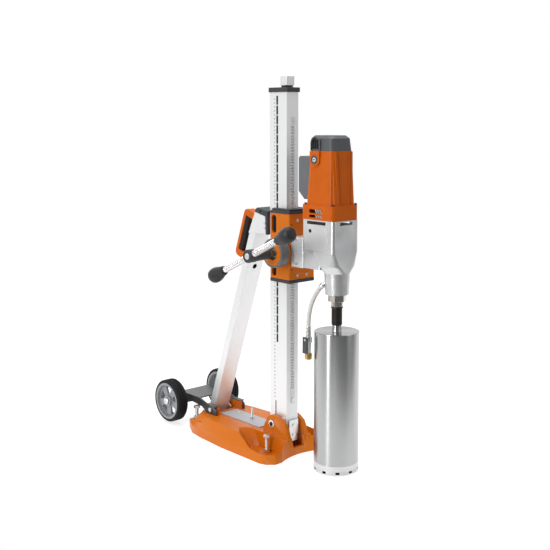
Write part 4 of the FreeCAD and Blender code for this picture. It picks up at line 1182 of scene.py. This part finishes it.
class CORERIG_OT_column(Operator):
    """Build the column with its rack, depth scale, cap, shoe and jack screw"""

    bl_idname = "core_rig.column"
    bl_label = "Column"
    bl_options = {"REGISTER", "UNDO"}

    def execute(self, context):
        sizes = context.scene.rig_sizes
        tube = carried("column", "column_extrusion", 0.0010, 3)
        settle(tube, "column", FINISH["extrusion"], ["column"])
        rack = carried("rack", "feed_rack", 0.0003, 1, 40)
        settle(rack, "column", FINISH["rack"], ["rack"])
        shoe = carried("column_foot", "column_shoe", sizes.machined_edge)
        settle(shoe, "column", FINISH["zinc"], ["column_foot"])
        cap = carried("column_cap", "column_end_cap", 0.0045, 4)
        settle(cap, "column", FINISH["dark plastic"], ["column_cap"])
        nut = carried("jack_nut", "jack_lock_nut", 0.0009)
        settle(nut, "column", FINISH["dark steel"], ["jack_nut"])
        jack = carried("jack_screw", "jack_screw_head", 0.0016, 3)
        # The jack screw head shares the cast silver painted lighter.
        settle(jack, "jack", FINISH["bright casting"], ["jack_screw"])
        refinish("column_screws", FINISH["zinc"])
        self.scale(context)
        return {"FINISHED"}

    def scale(self, context):
        """Black line broken at each gap, and a ladder of short marks beside it, on the crank side; a black
        block at the line's foot is painted shade for the slot opening at the bottom of the scale's groove.
        """
        sizes = context.scene.rig_sizes
        low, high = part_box("depth_scale")
        face, top = low[0] + 0.0006, high[2]
        bars = block("scale_line", (face - 0.0005, 0.0008, SCALE_START),
                     (face + 0.0001, 0.0086, SCALE_START + sizes.line_pitch - BAR_GAP),
                     0.0001, 1)
        self.repeated(bars, sizes.line_pitch, int((top - SCALE_START) / sizes.line_pitch))
        # The black block below the line is painted shade for the slot opening at the foot of the scale.
        foot = block("scale_foot_slot_shade", (face - 0.0005, 0.0105, 0.118), (face + 0.0001, 0.0145, 0.170),
                     0.0001, 1)
        settle(joined("scale_line", [bars, foot]), "column", FINISH["print"], ["depth_scale"])
        marks = block("scale_marks", (face - 0.0004, 0.0150, 0.180), (face + 0.0001, 0.0200, 0.1850),
                      0.0001, 1)
        self.repeated(marks, sizes.mark_pitch, int((top - 0.180) / sizes.mark_pitch))
        settle(marks, "column", FINISH["pale print"], ["depth_scale"])

    def repeated(self, piece, pitch, count):
        """Copies of a mark, one above another."""
        lone(piece)
        ladder = piece.modifiers.new("Marks up the column", "ARRAY")
        ladder.use_relative_offset = False
        ladder.use_constant_offset = True
        ladder.constant_offset_displace = (0, 0, pitch)
        ladder.count = count
        bpy.ops.object.modifier_apply(modifier=ladder.name)


class CORERIG_OT_strut(Operator):
    """Build the strut with its handle, and the clamp head behind the column"""

    bl_idname = "core_rig.strut"
    bl_label = "Strut and handle"
    bl_options = {"REGISTER", "UNDO"}

    def execute(self, context):
        tube = carried("strut_tube", "strut_tube_satin", 0.0016, 3)
        settle(tube, "strut", FINISH["strut"], ["strut_tube"])
        frame_piece = carried("handle_frame", "handle_orange", 0.0055, 5)
        settle(frame_piece, "strut", FINISH["orange plastic"], ["handle_frame"])
        grip = carried("handle_grip", "handle_grip_ribbed", 0.0062, 5)
        settle(grip, "strut", FINISH["grip"], ["handle_grip"])
        cheeks = carried("head_cheeks", "head_cheek_plates", 0.0007)
        settle(cheeks, "strut_head", FINISH["strut"], ["head_cheeks"])
        head = carried("strut_head", "strut_head_moulded", 0.0020, 3)
        settle(head, "strut_head", FINISH["dark plastic"], ["strut_head"])
        screws = carried("head_screws", "head_screw_steel", 0.0005)
        settle(screws, "strut_head", FINISH["zinc"], ["head_screws"])
        return {"FINISHED"}


# ---------------------------------------------------------------- carriage and crank

class CORERIG_OT_carriage(Operator):
    """Build the orange carriage with its wiper plates, feed drum, face ring and screws"""

    bl_idname = "core_rig.carriage"
    bl_label = "Carriage"
    bl_options = {"REGISTER", "UNDO"}

    def execute(self, context):
        sizes = context.scene.rig_sizes
        body = carried("carriage_body", "carriage_casting", 0.0018, 3)
        settle(body, "carriage", FINISH["orange coat"], ["carriage_body"])
        for end in ("top", "bottom"):
            node = "carriage_%s_plate" % end
            wiper = carried(node, "carriage_%s_wiper" % end, sizes.moulding_edge, 3)
            settle(wiper, "carriage", FINISH["dark plastic"], [node])
        drum = carried("feed_housing", "feed_drum", 0.0022, 3)
        settle(drum, "carriage", FINISH["feed grey"], ["feed_housing"])
        ring = carried("face_ring", "feed_face_ring", 0.0012, 3)
        settle(ring, "carriage", FINISH["orange coat"], ["face_ring"])
        self.screws()
        refinish("glide_pads", FINISH["grip"])
        refinish("feed_bushes", FINISH["bronze"])
        return {"FINISHED"}

    def screws(self):
        """Socket screws in the carriage's drill side, beside the block."""
        screws = []
        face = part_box("carriage_screws")[0][1] + 0.0020
        for x in (-0.020, 0.020):
            for z in (0.785, 0.607):
                screws.append(turned("screw", [(-0.010, 0), (-0.010, 0.0025), (-0.0001, 0.0025),
                                               (-0.0001, 0.0050),
                                               (0.0014, 0.0050), (0.0020, 0.0044), (0.0020, 0.0027),
                                               (0.0006, 0.0025),
                                               (0.0006, 0)], (x, face, z), -Y, 32))
        settle(joined("carriage_screw_heads", screws), "carriage", FINISH["zinc"],
               ["carriage_screws"])


class CORERIG_OT_crank(Operator):
    """Build the crank: pinion shaft, hub, two ribbed rods and their knobs"""

    bl_idname = "core_rig.crank"
    bl_label = "Crank"
    bl_options = {"REGISTER", "UNDO"}

    def execute(self, context):
        centre = Vector((0, FEED.y, FEED.z))
        shaft = carried("pinion_shaft", "pinion_shaft_steel", 0.0004, 1, 40)
        settle(shaft, "crank", FINISH["zinc"], ["pinion_shaft"])
        hub = turned("crank_hub_cast", [(0.122, 0.0102), (0.122, 0.0166), (0.1232, 0.0178), (0.1262, 0.0178),
                                        (0.1272, 0.0166), (0.1300, 0.0166), (0.1312, 0.0178),
                                        (0.1500, 0.0176),
                                        (0.1780, 0.0189), (0.1800, 0.0202), (0.2060, 0.0210),
                                        (0.2088, 0.0203),
                                        (0.2100, 0.0188), (0.2100, 0.0122), (0.2088, 0.0112),
                                        (0.2080, 0.0102),
                                        (0.122, 0.0102)], centre, -X, 96)
        settle(hub, "crank", FINISH["dark plastic"], ["crank_hub"])
        disc = turned("crank_end_disc", [(0.2070, 0), (0.2070, 0.0101), (0.2094, 0.0101), (0.2100, 0.0094),
                                         (0.2100, 0.0040), (0.2094, 0.0034), (0.2094, 0)], centre, -X, 64)
        settle(disc, "crank", FINISH["cast silver"], ["crank_hub"])
        tilt = math.radians(-25)
        rods, knobs = [], []
        for turn in (0, math.pi):
            away = Matrix.Rotation(tilt + turn, 4, "X") @ Y
            origin = centre - X * 0.196
            line = [(0.012, 0), (0.012, 0.0100), (0.030, 0.0100)]
            for i in range(12):
                z = 0.031 + 0.009 * i
                line += [(z, 0.0098), (z + 0.0008, 0.0105), (z + 0.0056, 0.0105), (z + 0.0064, 0.0093)]
            line += [(0.1400, 0.0093), (0.1480, 0.0093), (0.1480, 0)]
            rods.append(turned("rod", line, origin, away, 48))
            knobs.append(turned("knob", [(0.1420, 0), (0.1420, 0.0132), (0.1430, 0.0146), (0.1462, 0.0154),
                                         (0.1530, 0.0166), (0.1620, 0.0188), (0.1700, 0.0212),
                                         (0.1780, 0.0234),
                                         (0.1860, 0.0247), (0.1930, 0.0250), (0.2000, 0.0243),
                                         (0.2060, 0.0225),
                                         (0.2110, 0.0192), (0.2140, 0.0150), (0.2155, 0.0090), (0.2160, 0)],
                                origin, away, 64))
        settle(joined("crank_rods_ribbed", rods), "crank", FINISH["chrome"], ["crank_rods"])
        settle(joined("crank_knobs_moulded", knobs), "crank", FINISH["knob plastic"],
               ["crank_knobs"], 40)
        return {"FINISHED"}


# ---------------------------------------------------------------- drill

class CORERIG_OT_gearbox(Operator):
    """Build the silver gearbox with its raised side panels, and the block that holds it"""

    bl_idname = "core_rig.gearbox"
    bl_label = "Gearbox and mounting block"
    bl_options = {"REGISTER", "UNDO"}

    def execute(self, context):
        mount = carried("mounting_block", "mounting_block_cast", 0.0036, 4)
        # The mounting block takes the casting painted lighter: painted light on a face that the crank and drum
        # shade.
        settle(mount, "carriage", FINISH["bright casting"], ["mounting_block"])
        case = carried("gearbox_housing", "gearbox_cast", 0.0024, 3, 36)
        settle(case, "carriage", FINISH["cast silver"], ["gearbox_housing"], 38)
        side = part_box("gearbox_housing")[0][0]
        outline = [(-0.262, 0.776), (-0.200, 0.776), (-0.196, 0.752), (-0.156, 0.748), (-0.156, 0.706),
                   (-0.262, 0.706)]
        panel = plate("panel", outline, side - 0.0012, side + 0.0030, 0.0011, 3)
        twin = copied(panel, "panel_twin", MIRROR)
        settle(joined("gearbox_side_panels", [panel, twin]), "carriage", FINISH["cast silver"])
        plug = turned("oil_plug", [(0.0555, 0), (0.0555, 0.0058), (0.0566, 0.0058), (0.0570, 0.0052),
                                   (0.0570, 0.0030),
                                   (0.0556, 0.0028), (0.0556, 0)], (0, -0.184, 0.763), -X, 32)
        settle(plug, "carriage", FINISH["knob plastic"])
        bolts = []
        for x in (-0.0475, 0.0475):
            for z in (0.650, 0.726):
                bolts.append(turned("bolt", [(-0.004, 0), (-0.004, 0.0048), (0.0018, 0.0048),
                                             (0.0026, 0.0040),
                                             (0.0026, 0.0024), (0.0010, 0.0022), (0.0010, 0)],
                                    (math.copysign(0.0500, x), -0.116, z), X * math.copysign(1, x), 32))
        settle(joined("mounting_block_bolts", bolts), "carriage", FINISH["zinc"])
        return {"FINISHED"}


class CORERIG_OT_motor(Operator):
    """Build the orange motor housing with its flange, ribs and brush caps, the dark cap and the switch box"""

    bl_idname = "core_rig.motor"
    bl_label = "Motor"
    bl_options = {"REGISTER", "UNDO"}

    def execute(self, context):
        sizes = context.scene.rig_sizes
        flange = carried("motor_flange", "motor_flange_moulded", sizes.moulding_edge, 3)
        settle(flange, "carriage", FINISH["orange plastic"], ["motor_flange"])
        housing = carried("motor_housing", "motor_housing_moulded", 0.0012, 2, 40)
        for side in (-1, 1):
            self.channel(housing, side, False)
            self.channel(housing, side, True)
        round_over(housing, 0.0006, 2, 50)
        settle(housing, "carriage", FINISH["orange plastic"], ["motor_housing"], 40)
        cap = carried("motor_cap", "motor_cap_moulded", 0.0016, 3, 36)
        settle(cap, "carriage", FINISH["cap plastic"], ["motor_cap"], 38)
        box = carried("switch_box", "switch_box_moulded", 0.0030, 4)
        settle(box, "carriage", FINISH["grey plastic"], ["switch_box"])
        rocker = carried("power_switch", "power_switch_rocker", 0.0012, 3)
        settle(rocker, "power_switch", FINISH["grip"], ["power_switch"])
        self.ribs()
        self.brush_caps()
        self.flange_screws()
        self.slot_fins()
        self.cap_ribs()
        return {"FINISHED"}

    def wall(self, z):
        """Half width and front of the housing at a height."""
        share = (z - HOUSING_FOOT) / HOUSING_RISE
        return 0.053 - 0.006 * share, -0.279 + 0.008 * share

    def channel(self, housing, side, rear):
        """Screw channel up a corner of the housing, which fades out as its cutter leans away."""
        ends = []
        for z, away in ((0.846, 0.0053), (0.956, 0.0087)):
            half, front = self.wall(z)
            inset = CORNER_RADIUS * (1 - math.sqrt(0.5)) - away * math.sqrt(0.5)
            back = -0.154 - 0.012 * (z - HOUSING_FOOT) / HOUSING_RISE
            ends.append(Vector((side * (half - inset), back - inset if rear else front + inset, z)))
        run = ends[1] - ends[0]
        cutter = turned("cutter", [(-0.012, 0), (-0.012, CHANNEL_RADIUS), (run.length, CHANNEL_RADIUS),
                                   (run.length, 0)],
                        ends[0], run, 40)
        lone(housing)
        cut = housing.modifiers.new("Screw channel", "BOOLEAN")
        cut.object = cutter
        cut.operation = "DIFFERENCE"
        cut.solver = "EXACT"
        bpy.ops.object.modifier_apply(modifier=cut.name)
        bpy.data.objects.remove(cutter)

    def rib(self, name, x, y, z0, z1, wide, deep):
        """An upright moulded ridge that leans with the housing's wall."""
        (w0, f0), (w1, f1) = self.wall(z0), self.wall(z1)
        ridge = block(name, (-wide / 2, -deep, 0), (wide / 2, deep * 0.6, 1), deep * 0.45, 3)
        lean_x, lean_y = math.copysign(w1 - w0, x), f1 - f0 if y < -0.216 else 0.0
        shear = Matrix(((1, 0, lean_x, x), (0, 1, lean_y, y), (0, 0, z1 - z0, z0),
                        (0, 0, 0, 1)))
        ridge.data.transform(shear)
        return ridge

    def ribs(self):
        """Pairs of ridges beside each front corner."""
        ridges = []
        for side in (-1, 1):
            ridges.append(self.rib("ridge", side * 0.0290, -0.2788, 0.8450, 1.0080, 0.0070, 0.0024))
            ridges.append(self.rib("ridge", side * 0.0150, -0.2788, 0.8450, 1.0080, 0.0040, 0.0016))
        settle(joined("motor_housing_ridges", ridges), "carriage", FINISH["orange plastic"])

    def arch(self, radius, y, z, rise, count=15):
        """Outline points of a half round, opening up or down, from one side to the other."""
        return [(y + radius * math.cos(math.pi * i / (count - 1)),
                 z + rise * radius * math.sin(math.pi * i / (count - 1)))
                for i in range(count)]

    def brush_caps(self):
        """U-shaped bosses with slotted grey caps over the motor brushes, on both sides; each slot is a black
        bar on the bright disc, painted shade in place of the slot's hollow.
        """
        boss = plate("boss", [(BRUSH.y + BOSS_RADIUS, 1.0095), *self.arch(BOSS_RADIUS, BRUSH.y, BRUSH.z, -1),
                              (BRUSH.y - BOSS_RADIUS, 1.0095)], 0.0425, BOSS_FACE, 0.0022, 4)
        twin = copied(boss, "boss_twin", MIRROR)
        settle(joined("brush_bosses", [boss, twin]), "carriage", FINISH["orange plastic"])
        caps, discs, slots = [], [], []
        face = BOSS_FACE
        for side in (-1, 1):
            caps.append(turned("brush_cap", [(face - 0.0040, 0), (face - 0.0040, 0.0140),
                                             (face + 0.0006, 0.0140),
                                             (face + 0.0016, 0.0130), (face + 0.0016, 0.0104),
                                             (face + 0.0002, 0.0096),
                                             (face + 0.0002, 0)], (0, BRUSH.y, BRUSH.z), X * side, 56))
            discs.append(turned("disc", [(face, 0), (face, 0.0072), (face + 0.0010, 0.0070),
                                         (face + 0.0014, 0.0062),
                                         (face + 0.0014, 0)], (0, BRUSH.y, BRUSH.z), X * side, 40))
            # The slot is a black bar a little proud of the disc: painted shade in place of the slot's hollow.
            slot = block("slot", (0.0, BRUSH.y - 0.0050, BRUSH.z - 0.0013),
                         (0.0034, BRUSH.y + 0.0050, BRUSH.z + 0.0013),
                         0.0003, 2)
            slot.data.transform(Matrix.Translation((side * (face + 0.0002) - 0.0015, 0, 0)))
            slots.append(slot)
        settle(joined("motor_brush_caps", caps), "carriage", FINISH["brush cap"])
        settle(joined("brush_cap_discs", discs), "carriage", FINISH["zinc"])
        settle(joined("brush_cap_slot_shade", slots), "carriage", FINISH["knob plastic"])

    def flange_screws(self):
        """Dark socket screws that stand on the flange at the foot of each channel."""
        screws = []
        for x in (-0.0497, 0.0497):
            for y in (-0.2763, -0.1565):
                screws.append(turned("screw", [(0.842, 0), (0.842, 0.0042), (0.8484, 0.0042),
                                               (0.8492, 0.0035),
                                               (0.8492, 0.0022), (0.8465, 0.0020), (0.8465, 0)], (x, y, 0),
                                     Z, 28))
        settle(joined("motor_flange_screws", screws), "carriage", FINISH["knob plastic"])

    def slot_fins(self):
        """Pale fins that stand at a slant inside the flange's slots: ribs of the moulding, whose pale silver
        colour is a painted highlight for the white light off each slot's lower lip.
        """
        fins = []
        for side in (-1, 1):
            for low, high in ((0.8192, 0.8308), (0.8052, 0.8138)):
                fin = block("fin", (-0.0030, -0.0016, 0), (0.0030, 0.0016, high - low), 0.0005, 2)
                for step in range(3):
                    lean = Matrix(((1, 0, 0, side * 0.0535), (0, 1, 0.55, -0.2330 + 0.0100 * step),
                                   (0, 0, 1, low),
                                   (0, 0, 0, 1)))
                    fins.append(copied(fin, "fin", lean))
                bpy.data.objects.remove(fin)
        # The pale silver finish on the fins is a painted highlight on each slot's lower lip.
        settle(joined("flange_slot_fins_painted_highlight", fins), "carriage", FINISH["cast silver"])

    def cap_ribs(self):
        """Arched hoods round the cap's air openings, and slanted ribs across them."""
        hood = plate("hood", [(BRUSH.y + BOSS_RADIUS, 1.0105), *self.arch(BOSS_RADIUS, BRUSH.y, 1.0330, 1),
                              (BRUSH.y - BOSS_RADIUS, 1.0105),
                              (BRUSH.y - 0.0180, 1.0105), *reversed(self.arch(0.0180, BRUSH.y, 1.0320, 1)),
                              (BRUSH.y + 0.0180, 1.0105)], 0.0395, 0.0500, 0.0012, 3)
        hoods = [hood, copied(hood, "hood_twin", MIRROR)]
        settle(joined("motor_cap_hoods", hoods), "carriage", FINISH["cap plastic"])
        ribs = []
        for side in (-1, 1):
            for i in range(4):
                rib = block("louvre", (-0.0022, -0.0014, 0), (0.0022, 0.0014, 0.028), 0.0006, 2)
                lean = Matrix(((1, 0, -side * 0.12, side * 0.0448),
                               (0, 1, 0.16, BRUSH.y - 0.0110 + 0.0078 * i),
                               (0, 0, 1, 1.0155), (0, 0, 0, 1)))
                rib.data.transform(lean)
                ribs.append(rib)
        settle(joined("motor_cap_louvres", ribs), "carriage", FINISH["dark plastic"])


class CORERIG_OT_bit(Operator):
    """Build the spindle, its hexagon, the black threaded sleeve and the brushed core bit"""

    bl_idname = "core_rig.bit"
    bl_label = "Spindle and core bit"
    bl_options = {"REGISTER", "UNDO"}

    def execute(self, context):
        axis = Vector((0, BIT.y, 0))
        nut = carried("spindle_nut", "spindle_hexagon", 0.0014, 3)
        settle(nut, "spindle", FINISH["nut steel"], ["spindle_nut"])
        sleeve = turned("spindle_sleeve_threaded",
                        [(0.469, 0), (0.469, 0.0160), (0.4700, 0.0166)]
                        + thread(0.4705, 0.5195, 0.0175, 0.0014, 0.0035)
                        + [(0.5200, 0.0175), (0.5225, 0.0175), (0.5225, 0.0184), (0.5232, 0.0190),
                           (0.5272, 0.0190),
                           (0.5280, 0.0184), (0.5280, 0)], axis, Z, 64)
        settle(sleeve, "spindle", FINISH["dark steel"], ["bit_sleeve"])
        low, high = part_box("core_bit")
        radius, top = (high[0] - low[0]) / 2, 0.449
        base = low[2]
        profile = [(top + 0.0200, 0), (top + 0.0200, 0.0140), (top + 0.0190, 0.0150), (top + 0.0030, 0.0150),
                   (top + 0.0008, 0.0162), (top, 0.0185), (top, 0.0300), (top, 0.0500),
                   (top, radius - 0.0018),
                   (top - 0.0005, radius - 0.0006), (top - 0.0018, radius)]
        rows = 12
        profile += [(top - 0.0018 - (top - 0.0018 - base - 0.0185) * i / rows, radius) for i in range(1,
                                                                                                      rows + 1)]
        profile += [(base + 0.0180, radius - 0.0004), (base + 0.0180, radius - 0.0030),
                    (top - 0.0060, radius - 0.0030), (top - 0.0060, 0)]
        tube = turned("core_bit_tube", profile, axis, Z, 192)
        settle(tube, "spindle", FINISH["bit"], ["core_bit"], 30)
        band = turned("crown_band", [(base + 0.0180, radius - 0.0030), (base + 0.0180, radius - 0.0001),
                                     (base + 0.0090, radius), (base, radius), (base, radius - 0.0030),
                                     (base + 0.0180, radius - 0.0030)], axis, Z, 192)
        settle(band, "spindle", FINISH["bare crown steel"], [], 30)
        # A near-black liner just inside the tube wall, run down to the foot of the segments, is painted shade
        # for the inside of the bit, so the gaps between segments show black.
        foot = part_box("crown_segments")[0][2] + 0.0006
        bore = turned("core_bit_bore_shade", [(foot, radius - 0.0046), (foot, radius - 0.0036),
                                        (top - 0.0070, radius - 0.0036), (top - 0.0070, 0), (top - 0.0080, 0),
                                        (top - 0.0080, radius - 0.0046), (foot, radius - 0.0046)], axis, Z,
                      96)
        settle(bore, "spindle", FINISH["unlit bore"])
        crown = carried("crown_segments", "diamond_segments", 0.0005, 2)
        settle(crown, "spindle", FINISH["segment"], ["crown_segments"])
        refinish("spindle", FINISH["zinc"])
        refinish("armature", FINISH["winding"])
        refinish("motor_core", FINISH["winding"])
        return {"FINISHED"}


# ---------------------------------------------------------------- add-on

STEPS = (CORERIG_OT_finishes, CORERIG_OT_stage, CORERIG_OT_hose, CORERIG_OT_base, CORERIG_OT_wheels,
         CORERIG_OT_column,
         CORERIG_OT_strut, CORERIG_OT_carriage, CORERIG_OT_crank, CORERIG_OT_gearbox, CORERIG_OT_motor,
         CORERIG_OT_bit)


class CORERIG_PT_panel(Panel):
    """The rig's sizes, colours and building steps"""

    bl_label = "Core Drill Rig"
    bl_idname = "CORERIG_PT_panel"
    bl_space_type = "VIEW_3D"
    bl_region_type = "UI"
    bl_category = "Core Drill Rig"

    def draw(self, context):
        sizes = self.layout.box()
        sizes.label(text="Sizes")
        for name in RigSizes.__annotations__:
            sizes.prop(context.scene.rig_sizes, name)
        colours = self.layout.box()
        colours.label(text="Colours")
        for name in RigColours.__annotations__:
            colours.prop(context.scene.rig_colours, name)
        for step in STEPS:
            self.layout.operator(step.bl_idname)


CLASSES = (RigSizes, RigColours, *STEPS, CORERIG_PT_panel)


def register():
    for item in CLASSES:
        bpy.utils.register_class(item)
    bpy.types.Scene.rig_sizes = PointerProperty(type=RigSizes)
    bpy.types.Scene.rig_colours = PointerProperty(type=RigColours)


def unregister():
    del bpy.types.Scene.rig_colours
    del bpy.types.Scene.rig_sizes
    for item in reversed(CLASSES):
        bpy.utils.unregister_class(item)


def main():
    register()
    bpy.ops.core_rig.finishes()
    bpy.ops.core_rig.stage()
    bpy.ops.core_rig.hose()
    bpy.ops.core_rig.base()
    bpy.ops.core_rig.wheels()
    bpy.ops.core_rig.column()
    bpy.ops.core_rig.strut()
    bpy.ops.core_rig.carriage()
    bpy.ops.core_rig.crank()
    bpy.ops.core_rig.gearbox()
    bpy.ops.core_rig.motor()
    bpy.ops.core_rig.bit()


if __name__ == "__main__":
    main()
